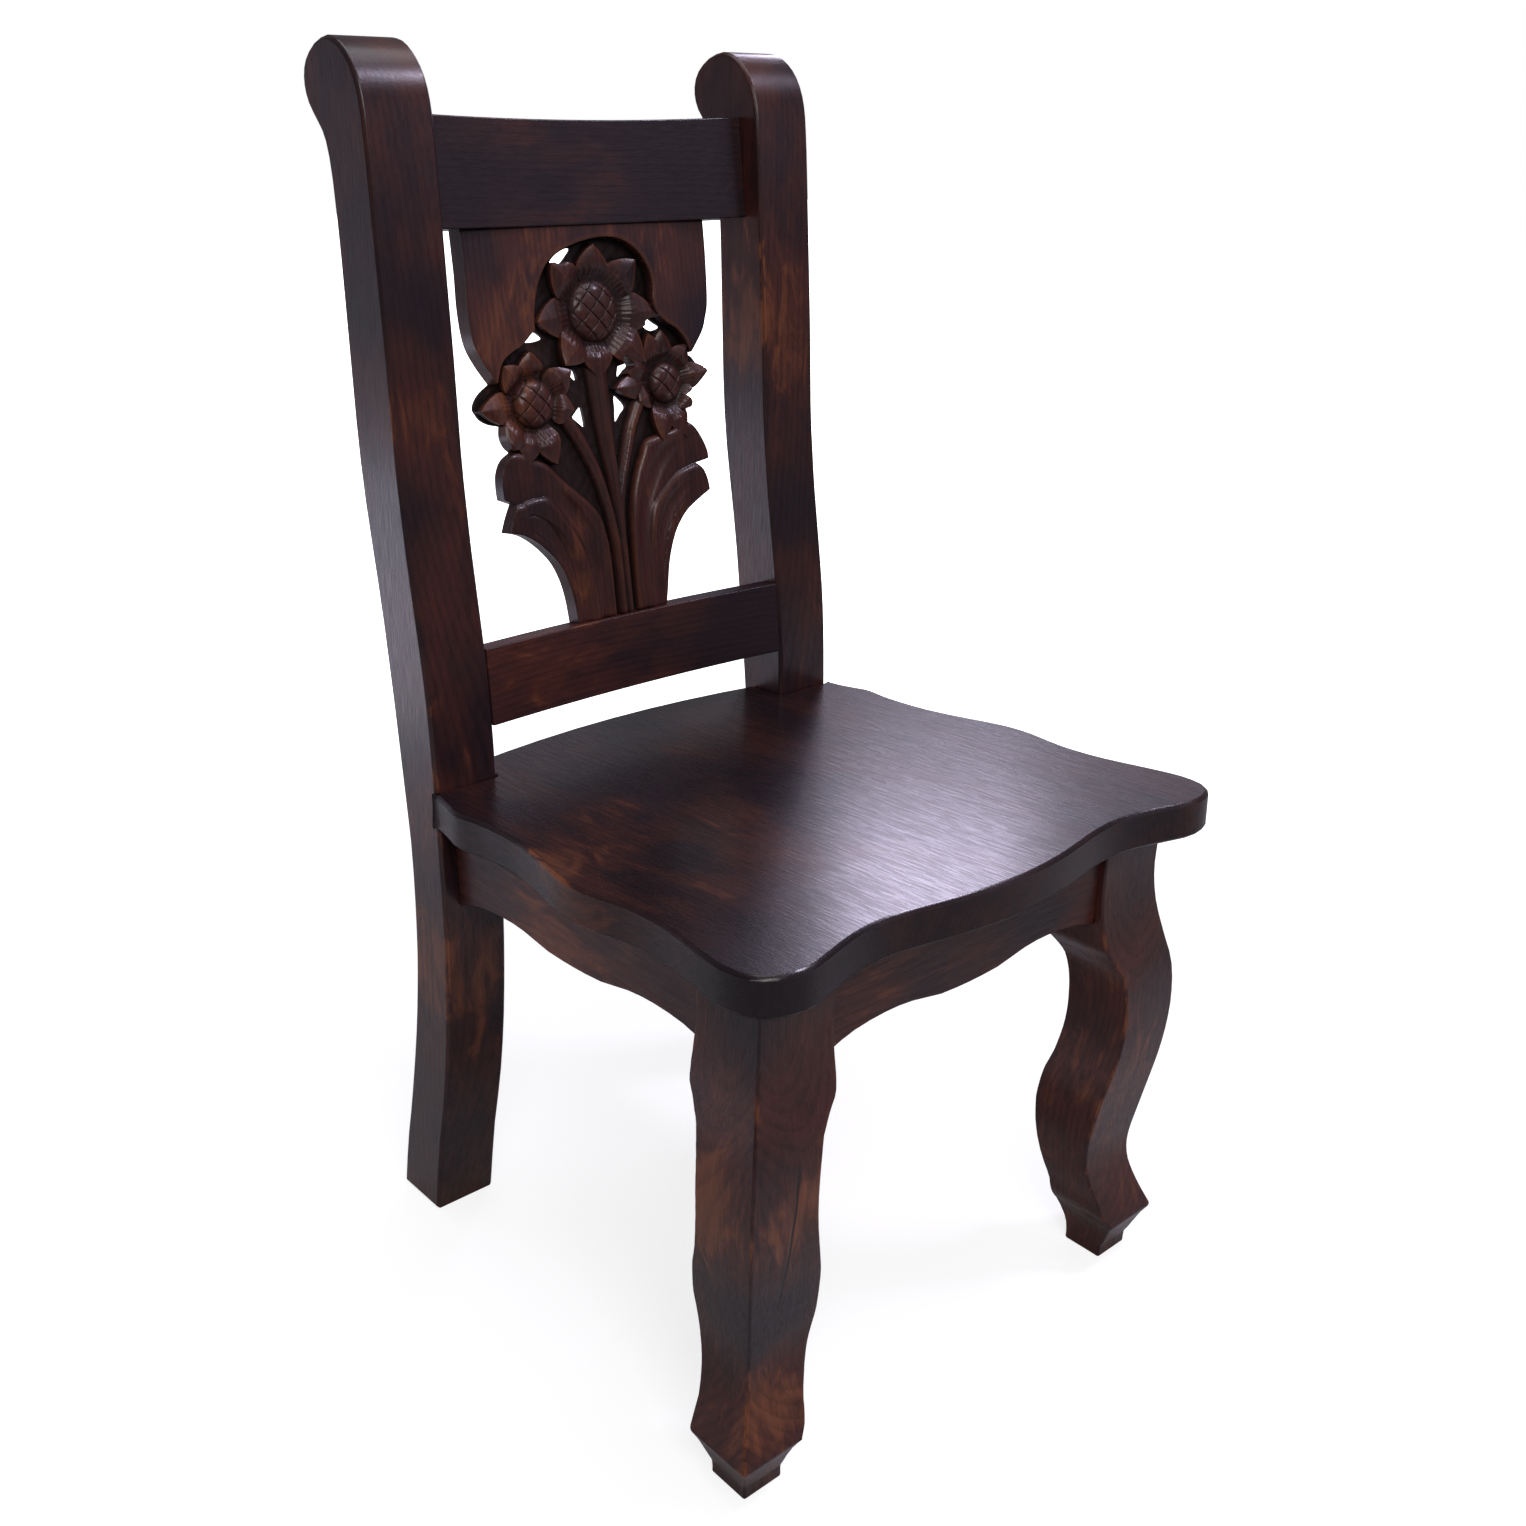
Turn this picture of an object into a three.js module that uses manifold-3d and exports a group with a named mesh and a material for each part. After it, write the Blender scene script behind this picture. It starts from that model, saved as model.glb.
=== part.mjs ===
// A carved wooden dining chair, built the way a country workshop builds one.
// Millimetres, +Z up, the sitter faces -Y, and the sitter's right hand is on -X.
// While the pieces are made, Y is zero at the foremost line of the back posts.

import * as THREE from 'three';
import { mergeVertices } from 'three/addons/utils/BufferGeometryUtils.js';
import { ConvexGeometry } from 'three/addons/geometries/ConvexGeometry.js';
import Module from 'manifold-3d';

const wasm = await Module();
wasm.setup();

// Fits shared by every joint
const fit = 0.3;
const overrun = 40;
const weld = 0.0001;

// Back posts, each sawn in one curved piece from a plank
const postHeight = 1024;
const postPlank = 149;
const postThickness = 62;
const postStep = 31;
const postEase = 2.5;
const postSteps = 48;

// Seat board
const seatHeight = 461;
const seatSlope = 2.5;
const seatThickness = 32;
const seatWidth = 520;
const seatReach = 432;
const seatTail = 64;
const seatTailBow = 42;
const seatEase = 3;
const seatSteps = 48;

// Front legs, the same sawn curve on two neighbouring faces
const footSize = 38;
const seatOverhang = 21.5;
const seatNose = 26;
const legBlankLength = 460;
const legCurve = 45;
const legSteps = 40;

// Aprons
const apronThickness = 22;
const apronSetback = 15.5;
const frontApronSetback = 7;
const apronHousing = 8;
const apronEndDrop = 112;
const apronSwing = 15;
const rearApronDepth = 62;
const rearApronSetback = 25;
const apronSteps = 24;

// Rails of the back
const lowerRailRise = 486;
const lowerRailHeight = 67;
const lowerRailThickness = 22;
const lowerRailLean = 6.5;
const crestRise = 885;
const crestHeight = 86;
const crestThickness = 28;
const crestLean = 8;
const crestSetback = 19;
const railBow = 10;
const crestDip = 2.5;
const railSteps = 12;

// Tenons that join them
const railTenonLength = 30;
const railTenonThickness = 12;
const railTenonShoulder = 9;
const apronTenonLength = 24;
const apronTenonThickness = 10;
const apronTenonShoulder = 10;
const splatTenonLength = 14;
const splatTenonThickness = 8;
const splatTenonLap = 12;
const topTenonShoulder = 32;
const footTenonShoulder = 13;
const tenonEndRoom = 1;

// Corner blocks and their screws
const frontBlockReach = 65;
const rearBlockReach = 52;
const blockHeight = 30;
const blockScrewSetback = 20;
const blockScrewGripLength = 21;
const blockScrewBiteLength = 15;
const seatScrewGripLength = 18;
const seatScrewBiteLength = 19;
const screwDiameter = 4.2;
const screwHeadDiameter = 8.4;
const screwHeadHeight = 3.2;
const screwSlotWidth = 1.2;
const screwSlotDepth = 1.3;
const screwSides = 10;

// Carved splat
const splatGap = 40;
const splatThickness = 17;
const splatOffset = -6;
const splatInset = 2.5;
const groundDepth = 12.5;
const upperLeafDepth = 4.5;
const lowerLeafDepth = 1.5;
const stemWidth = 14;
const stemRise = 9;
const ribWidth = 8;
const ribRise = 4;
const petalRootDepth = 9.5;
const petalEdgeDepth = 5;
const petalRidgeDepth = 1;
const petalTipDepth = 1.5;
const centreDiscDiameter = 54;
const leftDiscDiameter = 43;
const rightDiscDiameter = 38;
const discCrown = 9;
const discSeatDepth = 10;
const discRootDepth = 5;
const discRings = 12;
const discRows = 4;
const hatchPitch = 12;
const hatchWidth = 1.6;
const hatchDepth = 1.3;

// Outlines, as shares of the sizes that they follow.
// Post edges: share of the plank's width, share of the post's height.
const postFrontShares = [
  [0.262, 0], [0.19, 0.07], [0.101, 0.131], [0.045, 0.187], [0.016, 0.238], [0.002, 0.288],
  [0.003, 0.335], [0.018, 0.379], [0.034, 0.433], [0.052, 0.476], [0.08, 0.518], [0.122, 0.558],
  [0.16, 0.59], [0.196, 0.621], [0.225, 0.652], [0.256, 0.69], [0.281, 0.744], [0.3, 0.781],
  [0.338, 0.846], [0.371, 0.901], [0.395, 0.9355], [0.416, 0.955], [0.452, 0.97], [0.51, 0.983],
  [0.58, 0.992], [0.658, 0.998], [0.74, 1],
];
const postRearShares = [
  [0.664, 0], [0.611, 0.048], [0.55, 0.086], [0.497, 0.122], [0.45, 0.157], [0.409, 0.192],
  [0.38, 0.225], [0.359, 0.256], [0.349, 0.286], [0.345, 0.33], [0.356, 0.372], [0.376, 0.398],
  [0.399, 0.425], [0.44, 0.478], [0.485, 0.528], [0.535, 0.577], [0.597, 0.626], [0.651, 0.673],
  [0.683, 0.721], [0.7, 0.767], [0.718, 0.813], [0.738, 0.856], [0.767, 0.899], [0.799, 0.921],
  [0.84, 0.933], [0.9, 0.942], [0.962, 0.952], [0.994, 0.962], [1, 0.972], [0.978, 0.982],
  [0.925, 0.99], [0.84, 0.997], [0.74, 1],
];

// Half plan of the seat: share of half its width, share of its reach ahead of the posts.
const seatSideShares = [
  [0.892, -0.004], [0.912, 0.052], [0.932, 0.098], [0.924, 0.135], [0.914, 0.18], [0.914, 0.26],
  [0.923, 0.31], [0.942, 0.37], [0.965, 0.425], [0.981, 0.475], [0.983, 0.53], [0.97, 0.58],
  [0.954, 0.635], [0.951, 0.69], [0.958, 0.745], [0.978, 0.81], [0.994, 0.865], [1, 0.905],
  [0.988, 0.95], [0.95, 0.98], [0.89, 0.995], [0.82, 0.997], [0.72, 0.98], [0.61, 0.963],
  [0.5, 0.958], [0.4, 0.965], [0.3, 0.977], [0.2, 0.988], [0.1, 0.995], [0, 0.998],
];

// Sawn curves of a front leg: share of the curve's size, share of the blank's length.
// The outer edge is measured outwards from the foot and is the same on two faces. The inner edges,
// seen from the front and from the side, are measured inwards from it.
const legOuterShares = [
  [0, 0], [0, 0.024], [0.05, 0.036], [0.13, 0.056], [0.215, 0.076], [0.322, 0.094],
];
const legOuterUpperShares = [
  [0.322, 0.094], [0.26, 0.108], [0.15, 0.133], [0.01, 0.17], [-0.09, 0.205], [-0.127, 0.239],
  [-0.11, 0.272], [-0.055, 0.311], [0.047, 0.38], [0.144, 0.448], [0.202, 0.515], [0.209, 0.58],
  [0.149, 0.646], [-0.009, 0.707], [-0.16, 0.77], [-0.232, 0.83], [-0.235, 0.89], [-0.215, 1],
];
const legInnerFrontShares = [
  [0.02, 0], [0.02, 0.05], [0.163, 0.091], [0.296, 0.11], [0.373, 0.131], [0.421, 0.154],
  [0.56, 0.198], [0.673, 0.251], [0.728, 0.28], [0.759, 0.312], [0.71, 0.382], [0.636, 0.418],
  [0.471, 0.489], [0.41, 0.55], [0.44, 0.604], [0.53, 0.652], [0.636, 0.672], [0.762, 0.691],
  [0.909, 0.71], [0.97, 0.732], [0.998, 0.78], [1, 1],
];
const legInnerSideShares = [
  [0.004, 0], [0.033, 0.036], [0.252, 0.099], [0.293, 0.148], [0.404, 0.194], [0.516, 0.246],
  [0.557, 0.308], [0.586, 0.339], [0.559, 0.373], [0.505, 0.409], [0.397, 0.447], [0.318, 0.512],
  [0.32, 0.569], [0.349, 0.622], [0.45, 0.668], [0.561, 0.687], [0.673, 0.707], [0.803, 0.725],
  [0.847, 0.748], [0.87, 0.79], [0.87, 1],
];

// Lower edge of an apron: share of half its length, share of the swing above its ends.
const apronEdgeShares = [
  [0, 0.42], [0.2, 0.5], [0.4, 0.9], [0.58, 1], [0.78, 0.8], [0.92, 0.35], [1, 0],
];

// Splat outline: share of half its width at the flowers, share of its height.
// Each run is smooth, and the runs meet at the tips and notches of the petals and leaves.
// The board is a little wider at the top than at the flowers.
const splatOutlineShares = [
  [[-1.005, 1], [-1.008, 0.903], [-1.02, 0.813], [-1.005, 0.736], [-0.948, 0.685], [-0.855, 0.632]],
  [[-0.855, 0.632], [-0.94, 0.612], [-0.99, 0.59], [-1.002, 0.574]],
  [[-1.002, 0.574], [-0.96, 0.55], [-0.9, 0.536], [-0.811, 0.527]],
  [[-0.811, 0.527], [-0.82, 0.5], [-0.797, 0.476], [-0.757, 0.46]],
  [[-0.757, 0.46], [-0.835, 0.442], [-0.88, 0.413], [-0.893, 0.38], [-0.892, 0.347]],
  [[-0.892, 0.347], [-0.8, 0.332]],
  [[-0.8, 0.332], [-0.848, 0.3], [-0.89, 0.264]],
  [[-0.89, 0.264], [-0.767, 0.25], [-0.647, 0.218], [-0.531, 0.17], [-0.468, 0.12],
    [-0.435, 0.066], [-0.42, 0]],
  [[0.379, 0], [0.401, 0.038], [0.447, 0.118], [0.516, 0.182], [0.586, 0.219], [0.661, 0.245],
    [0.764, 0.267], [0.887, 0.289]],
  [[0.887, 0.289], [0.875, 0.318], [0.845, 0.343], [0.788, 0.366]],
  [[0.788, 0.366], [0.85, 0.369], [0.916, 0.373]],
  [[0.916, 0.373], [0.91, 0.395], [0.879, 0.423], [0.831, 0.452], [0.755, 0.479]],
  [[0.755, 0.479], [0.793, 0.505], [0.795, 0.531], [0.757, 0.55]],
  [[0.757, 0.55], [0.874, 0.574], [0.966, 0.607]],
  [[0.966, 0.607], [0.895, 0.645], [0.815, 0.66]],
  [[0.815, 0.66], [0.928, 0.71], [0.974, 0.747], [1.007, 0.793], [1.026, 0.907], [1.03, 1]],
];

// Openings sawn through the splat among the petals and stems
const splatHoleShares = [
  [[-0.27, 0.912], [-0.235, 0.927], [-0.17, 0.94], [-0.12, 0.946], [-0.078, 0.945], [-0.11, 0.93],
    [-0.174, 0.91], [-0.23, 0.908]],
  [[-0.55, 0.727], [-0.505, 0.739], [-0.464, 0.748], [-0.44, 0.747], [-0.39, 0.732],
    [-0.43, 0.726], [-0.5, 0.724]],
  [[0.45, 0.748], [0.49, 0.758], [0.53, 0.759], [0.585, 0.745], [0.632, 0.734], [0.59, 0.727],
    [0.52, 0.727]],
  [[-0.224, 0.636], [-0.19, 0.645], [-0.161, 0.645], [-0.144, 0.62], [-0.17, 0.62], [-0.2, 0.63]],
  [[0.2, 0.619], [0.215, 0.643], [0.228, 0.664], [0.256, 0.664], [0.31, 0.643], [0.27, 0.63],
    [0.225, 0.617]],
  [[0.142, 0.503], [0.148, 0.535], [0.155, 0.568], [0.181, 0.568], [0.25, 0.538], [0.21, 0.52],
    [0.166, 0.502]],
  [[-0.22, 0.527], [-0.19, 0.539], [-0.155, 0.55], [-0.131, 0.549], [-0.116, 0.499],
    [-0.14, 0.5], [-0.18, 0.513]],
];

// Lower edge of the plain shield, from the left notch over the arch to the right one
const shieldLeftShares = [
  [-0.855, 0.632], [-0.8, 0.68], [-0.72, 0.703], [-0.63, 0.718], [-0.535, 0.746], [-0.512, 0.75],
];
const archShares = [
  [-0.512, 0.75], [-0.503, 0.79], [-0.475, 0.835], [-0.42, 0.88], [-0.33, 0.92], [-0.2, 0.944],
  [-0.05, 0.96], [0.12, 0.968], [0.28, 0.96], [0.41, 0.93], [0.49, 0.888], [0.518, 0.845],
  [0.508, 0.805],
];
const shieldRightShares = [
  [0.508, 0.805], [0.53, 0.775], [0.6, 0.748], [0.7, 0.725], [0.77, 0.695], [0.815, 0.66],
];

// Flowers: centre, and for every petal its bearing in degrees and its reach
const flowers = [
  {
    centreShares: [0.033, 0.788],
    disc: centreDiscDiameter,
    petals: [[87, 0.44], [41, 0.487], [-5, 0.526], [-45, 0.529], [-94, 0.45], [-133, 0.469],
      [185, 0.506], [137, 0.479]],
  },
  {
    centreShares: [-0.549, 0.573],
    disc: leftDiscDiameter,
    petals: [[92, 0.346], [33, 0.363], [-13, 0.31], [-76, 0.43], [-107, 0.409], [-135, 0.405],
      [181, 0.449], [132, 0.358]],
  },
  {
    centreShares: [0.594, 0.588],
    disc: rightDiscDiameter,
    petals: [[8, 0.392], [50, 0.33], [95, 0.37], [112, 0.38], [155, 0.436], [180, 0.472],
      [-158, 0.295], [-104, 0.41], [-72, 0.42], [-35, 0.3]],
  },
];

// Leaves: closed outlines, the upper pair behind the lower pair
const upperLeafShares = [
  [[-0.892, 0.347], [-0.893, 0.38], [-0.88, 0.413], [-0.835, 0.442], [-0.757, 0.46], [-0.62, 0.44],
    [-0.5, 0.42], [-0.4, 0.38], [-0.268, 0.336], [-0.171, 0.302], [-0.1, 0.264], [-0.063, 0.211],
    [-0.05, 0.168], [-0.046, 0.139], [-0.05, 0], [-0.22, 0], [-0.25, 0.09], [-0.3, 0.18],
    [-0.4, 0.25], [-0.52, 0.31], [-0.66, 0.335], [-0.8, 0.335]],
  [[0.916, 0.373], [0.91, 0.395], [0.879, 0.423], [0.831, 0.452], [0.755, 0.479], [0.6, 0.465],
    [0.45, 0.455], [0.35, 0.44], [0.29, 0.4], [0.245, 0.368], [0.19, 0.31], [0.16, 0.24],
    [0.15, 0.15], [0.15, 0], [0.28, 0], [0.29, 0.08], [0.31, 0.16], [0.34, 0.22], [0.4, 0.27],
    [0.48, 0.31], [0.6, 0.345], [0.727, 0.362]],
];
const lowerLeafShares = [
  [[-0.89, 0.264], [-0.848, 0.3], [-0.8, 0.332], [-0.747, 0.338], [-0.64, 0.344], [-0.55, 0.34],
    [-0.489, 0.322], [-0.444, 0.3], [-0.4, 0.272], [-0.318, 0.218], [-0.265, 0.173],
    [-0.228, 0.124], [-0.204, 0.079], [-0.2, 0], [-0.42, 0], [-0.435, 0.066], [-0.468, 0.12],
    [-0.531, 0.17], [-0.647, 0.218], [-0.767, 0.25]],
  [[0.887, 0.289], [0.875, 0.318], [0.845, 0.343], [0.788, 0.366], [0.727, 0.365], [0.586, 0.349],
    [0.454, 0.313], [0.352, 0.275], [0.306, 0.226], [0.285, 0.16], [0.27, 0.08], [0.26, 0],
    [0.379, 0], [0.401, 0.038], [0.447, 0.118], [0.516, 0.182], [0.586, 0.219], [0.661, 0.245],
    [0.764, 0.267]],
];

// Stems and the rolled upper edges of the leaves, as lines that end inside the base
const stemShares = [
  [[0.007, 0.62], [0.02, 0.52], [0.04, 0.42], [0.06, 0.33], [0.07, 0.2], [0.07, 0.01]],
  [[0.34, 0.54], [0.25, 0.48], [0.205, 0.433], [0.16, 0.386], [0.115, 0.338], [0.085, 0.28]],
  [[-0.3, 0.53], [-0.2, 0.47], [-0.12, 0.41], [-0.07, 0.36], [-0.03, 0.3], [0, 0.24],
    [0.02, 0.17], [0.02, 0.05]],
];
const ribShares = [
  [[-0.4, 0.272], [-0.318, 0.218], [-0.265, 0.173], [-0.228, 0.124], [-0.204, 0.079], [-0.202, 0.01]],
  [[-0.268, 0.336], [-0.171, 0.302], [-0.1, 0.264], [-0.063, 0.211], [-0.05, 0.168],
    [-0.046, 0.139], [-0.05, 0.01]],
  [[0.352, 0.275], [0.306, 0.226], [0.285, 0.16], [0.27, 0.08], [0.26, 0.01]],
  [[0.34, 0.436], [0.245, 0.368], [0.18, 0.31], [0.16, 0.22]],
];
const ribSteps = 8;
const ribSides = 6;

// A petal, along its length: root as a share of the disc, belly and flank as shares of
// what is left to the tip, and its half widths there as shares of the disc
const petalRootShare = 0.3;
const petalBellyShare = 0.4;
const petalFlankShare = 0.68;
const petalNeckShare = 0.22;
const petalWidthShare = 0.31;
const petalTaperShare = 0.21;

// Sizes that follow from the ones above
const postOuter = seatWidth / 2 - postStep;
const postInner = postOuter - postThickness;
const legOuterFoot = seatWidth / 2 - seatOverhang;
const footReach = seatReach - seatNose;
const slopeRatio = Math.tan(THREE.MathUtils.degToRad(seatSlope));
const splatHalf = postInner - splatGap;

// Finishes
const darkWalnut = new THREE.MeshStandardMaterial({ color: 0x2a1512, roughness: 0.38, metalness: 0 });
const warmWalnut = new THREE.MeshStandardMaterial({ color: 0x4a2415, roughness: 0.42, metalness: 0 });
const glossWalnut = new THREE.MeshStandardMaterial({ color: 0x33181a, roughness: 0.28, metalness: 0 });
const hiddenPine = new THREE.MeshStandardMaterial({ color: 0x3a2016, roughness: 0.6, metalness: 0 });
const zincSteel = new THREE.MeshStandardMaterial({ color: 0xb9b6a8, roughness: 0.35, metalness: 0.9 });

// Tools for shapes and solids

function solidOf(geometry) {
  const bare = new THREE.BufferGeometry();
  bare.setAttribute('position', geometry.attributes.position);
  bare.setIndex(geometry.index);
  const welded = mergeVertices(bare, weld);
  return new wasm.Manifold(new wasm.Mesh({
    numProp: 3,
    vertProperties: new Float32Array(welded.attributes.position.array),
    triVerts: new Uint32Array(welded.index.array),
  }));
}

function meshOf(name, solid, material) {
  const { vertProperties, triVerts } = solid.getMesh();
  const geometry = new THREE.BufferGeometry();
  geometry.setAttribute('position', new THREE.BufferAttribute(vertProperties, 3));
  geometry.setIndex(new THREE.BufferAttribute(triVerts, 1));
  geometry.computeVertexNormals();
  const mesh = new THREE.Mesh(geometry, material);
  mesh.name = name;
  return mesh;
}

function smooth(points, steps) {
  return new THREE.SplineCurve(points.map(([a, b]) => new THREE.Vector2(a, b))).getPoints(steps);
}

function scaled(shares, across, up) {
  return shares.map(([a, b]) => [a * across, b * up]);
}

function prism(points, depth, basis, ease = 0) {
  const geometry = new THREE.ExtrudeGeometry(new THREE.Shape(points), {
    depth: depth - 2 * ease,
    bevelEnabled: ease > 0,
    bevelThickness: ease,
    bevelSize: ease,
    bevelOffset: -ease,
    bevelSegments: 1,
  });
  return geometry.translate(0, 0, ease).applyMatrix4(basis);
}

// An outline of Y and Z, drawn at x = start and carried to x = end
function alongX(points, start, end, ease = 0) {
  const basis = new THREE.Matrix4().makeBasis(
    new THREE.Vector3(0, 1, 0), new THREE.Vector3(0, 0, 1), new THREE.Vector3(1, 0, 0),
  );
  basis.setPosition(start, 0, 0);
  return solidOf(prism(points, end - start, basis, ease));
}

// An outline of X and Z, drawn at y = start and carried to y = end
function alongY(points, start, end) {
  const basis = new THREE.Matrix4().makeBasis(
    new THREE.Vector3(1, 0, 0), new THREE.Vector3(0, 0, 1), new THREE.Vector3(0, -1, 0),
  );
  basis.setPosition(0, end, 0);
  return solidOf(prism(points, end - start, basis));
}

function box(low, high, matrix = new THREE.Matrix4()) {
  const size = high.map((value, i) => value - low[i]);
  const middle = high.map((value, i) => (value + low[i]) / 2);
  const geometry = new THREE.BoxGeometry(...size).translate(...middle);
  return solidOf(geometry.applyMatrix4(matrix));
}

function crossing(line, height) {
  for (let i = 1; i < line.length; i += 1) {
    const [below, above] = [line[i - 1], line[i]];
    if (height <= above.y) {
      const share = (height - below.y) / (above.y - below.y);
      return below.x + (above.x - below.x) * share;
    }
  }
  return line[line.length - 1].x;
}

// Back posts

const postFront = smooth(scaled(postFrontShares, postPlank, postHeight), postSteps);
const postRear = smooth(scaled(postRearShares, postPlank, postHeight), postSteps);

function postFrontAt(height) {
  return crossing(postFront, height);
}

function postBlank(side) {
  const outline = [...postFront, ...postRear.slice(1, -1).reverse(), postRear[0]];
  const faces = [side * postInner, side * (postInner + postThickness)].sort((a, b) => a - b);
  return alongX(outline, faces[0], faces[1], postEase);
}

// The seat lies in a plane that falls towards the back

function seatTopAt(y) {
  return seatHeight - slopeRatio * (y + seatReach);
}

const seatPlane = new THREE.Matrix4()
  .makeTranslation(0, -seatReach, seatHeight)
  .multiply(new THREE.Matrix4().makeRotationX(-THREE.MathUtils.degToRad(seatSlope)));

const seatUnderside = seatTopAt(0) - seatThickness;
const seatNotch = Math.min(postFrontAt(seatTopAt(0)), postFrontAt(seatUnderside)) - fit;

// Everything above the underside of the seat, for trimming what carries it
function aboveUnderside() {
  const low = [-seatWidth, -overrun, -seatThickness - fit];
  const high = [seatWidth, seatReach + postPlank + overrun, seatHeight];
  return box(low, high, seatPlane);
}

function seatOutline() {
  const half = seatWidth / 2;
  const side = smooth(seatSideShares.map(([a, b]) => [a * half, -b * seatReach]), seatSteps);
  const bow = [];
  for (let i = 0; i <= railSteps; i += 1) {
    const share = 1 - (2 * i) / railSteps;
    bow.push(new THREE.Vector2(share * half, seatTail + seatTailBow * (1 - share * share) - seatTailBow));
  }
  const mirrored = side.map((p) => new THREE.Vector2(-p.x, p.y)).reverse().slice(1);
  return [...bow.map((p) => new THREE.Vector2(-p.x, p.y)), ...side, ...mirrored];
}

function seatBoard() {
  const outline = seatOutline().map((p) => new THREE.Vector2(p.x, p.y + seatReach));
  const geometry = new THREE.ExtrudeGeometry(new THREE.Shape(outline), {
    depth: seatThickness - 2 * seatEase,
    bevelEnabled: true,
    bevelThickness: seatEase,
    bevelSize: seatEase,
    bevelOffset: -seatEase,
    bevelSegments: 2,
  });
  geometry.translate(0, 0, seatEase - seatThickness).applyMatrix4(seatPlane);
  let board = solidOf(geometry);
  for (const side of [-1, 1]) {
    const edges = [side * (postInner - fit), side * (seatWidth + overrun)].sort((a, b) => a - b);
    const low = [edges[0], seatNotch, seatUnderside - overrun];
    const high = [edges[1], postPlank + overrun, seatTopAt(0) + overrun];
    board = board.subtract(box(low, high));
  }
  return board;
}

// Front legs

function legProfile(innerShares) {
  const outer = [
    ...smooth(scaled(legOuterShares, -legCurve, legBlankLength), legSteps / 4),
    ...smooth(scaled(legOuterUpperShares, -legCurve, legBlankLength), legSteps).slice(1),
  ];
  const inner = smooth(scaled(innerShares, legCurve, legBlankLength), legSteps);
  return [...outer, ...inner.map((p) => new THREE.Vector2(p.x + footSize, p.y)).reverse()];
}

function legBlockSize(innerShares) {
  return footSize + legCurve * innerShares[innerShares.length - 1][0];
}

const legBlockOuter = -legCurve * legOuterUpperShares[legOuterUpperShares.length - 1][0];

function legBlank(side) {
  const reach = footSize + 2 * legCurve;
  const acrossPoints = legProfile(legInnerFrontShares)
    .map((p) => new THREE.Vector2(side * (legOuterFoot - p.x), p.y));
  const depthPoints = legProfile(legInnerSideShares)
    .map((p) => new THREE.Vector2(p.x - footReach, p.y));
  const faces = [side * (legOuterFoot + legCurve), side * (legOuterFoot - reach)].sort((a, b) => a - b);
  const across = alongY(acrossPoints, -footReach - legCurve, -footReach + reach);
  const depth = alongX(depthPoints, ...faces);
  return across.intersect(depth);
}

// Aprons. Their lower edges swing up from the ends and drop again in the middle.

const sideApronFace = postOuter - apronSetback;
const frontApronFace = -footReach + legBlockOuter + frontApronSetback;
const legBlockFace = {
  x: legOuterFoot - legBlockSize(legInnerFrontShares),
  y: -footReach + legBlockSize(legInnerSideShares),
};

function apronEdge(start, end, topAt) {
  const half = (end - start) / 2;
  const middle = (end + start) / 2;
  const side = smooth(scaled(apronEdgeShares, half, apronSwing), apronSteps / 2);
  const full = [...side.map((p) => new THREE.Vector2(-p.x, p.y)).reverse(), ...side.slice(1)];
  return full.map((p) => new THREE.Vector2(middle + p.x, topAt(middle + p.x) - apronEndDrop + p.y));
}

function apronTenon(low, high, axis, grow, room) {
  const grownLow = low.map((value) => value - grow);
  const grownHigh = high.map((value) => value + grow);
  grownLow[axis] -= room;
  grownHigh[axis] += room;
  return box(grownLow, grownHigh);
}

function sideTenon(side, atLeg, grow = 0, room = 0) {
  const middle = side * (sideApronFace - apronThickness / 2);
  const shoulder = atLeg ? legBlockFace.y : 0;
  const top = seatTopAt(shoulder) - seatThickness - apronTenonShoulder;
  const bottom = seatTopAt(shoulder) - apronEndDrop + apronTenonShoulder;
  const low = [middle - apronTenonThickness / 2, shoulder - apronTenonLength, bottom];
  const high = [middle + apronTenonThickness / 2, shoulder + apronTenonLength, top];
  return apronTenon(low, high, 1, grow, room);
}

// The ends of an apron follow the sawn faces that they meet
function sideApron(side) {
  const start = legBlockFace.y - apronHousing;
  const end = apronHousing;
  const top = seatTopAt(start);
  const lower = apronEdge(start, end, seatTopAt);
  const outline = [...lower, new THREE.Vector2(end, top), new THREE.Vector2(start, top)];
  const faces = [side * sideApronFace, side * (sideApronFace - apronThickness)].sort((a, b) => a - b);
  return alongX(outline, ...faces)
    .subtract(legBlank(side).translate([0, fit, 0]))
    .subtract(postBlank(side).translate([0, -fit, 0]))
    .add(sideTenon(side, true))
    .add(sideTenon(side, false))
    .subtract(aboveUnderside());
}

function frontTenon(side, grow = 0, room = 0) {
  const face = side * legBlockFace.x;
  const y = frontApronFace + apronThickness / 2;
  const top = seatTopAt(y) - seatThickness - apronTenonShoulder;
  const bottom = seatTopAt(y) - apronEndDrop + apronTenonShoulder;
  const low = [face - apronTenonLength, y - apronTenonThickness / 2, bottom];
  const high = [face + apronTenonLength, y + apronTenonThickness / 2, top];
  return apronTenon(low, high, 0, grow, room);
}

function frontApron() {
  const end = legBlockFace.x + apronHousing;
  const level = seatTopAt(frontApronFace);
  const lower = apronEdge(-end, end, () => level);
  const outline = [...lower, new THREE.Vector2(end, level), new THREE.Vector2(-end, level)];
  return alongY(outline, frontApronFace, frontApronFace + apronThickness)
    .subtract(legBlank(-1).translate([fit, 0, 0]))
    .subtract(legBlank(1).translate([-fit, 0, 0]))
    .add(frontTenon(-1))
    .add(frontTenon(1))
    .subtract(aboveUnderside());
}

const rearApronFace = rearApronSetback;

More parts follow.
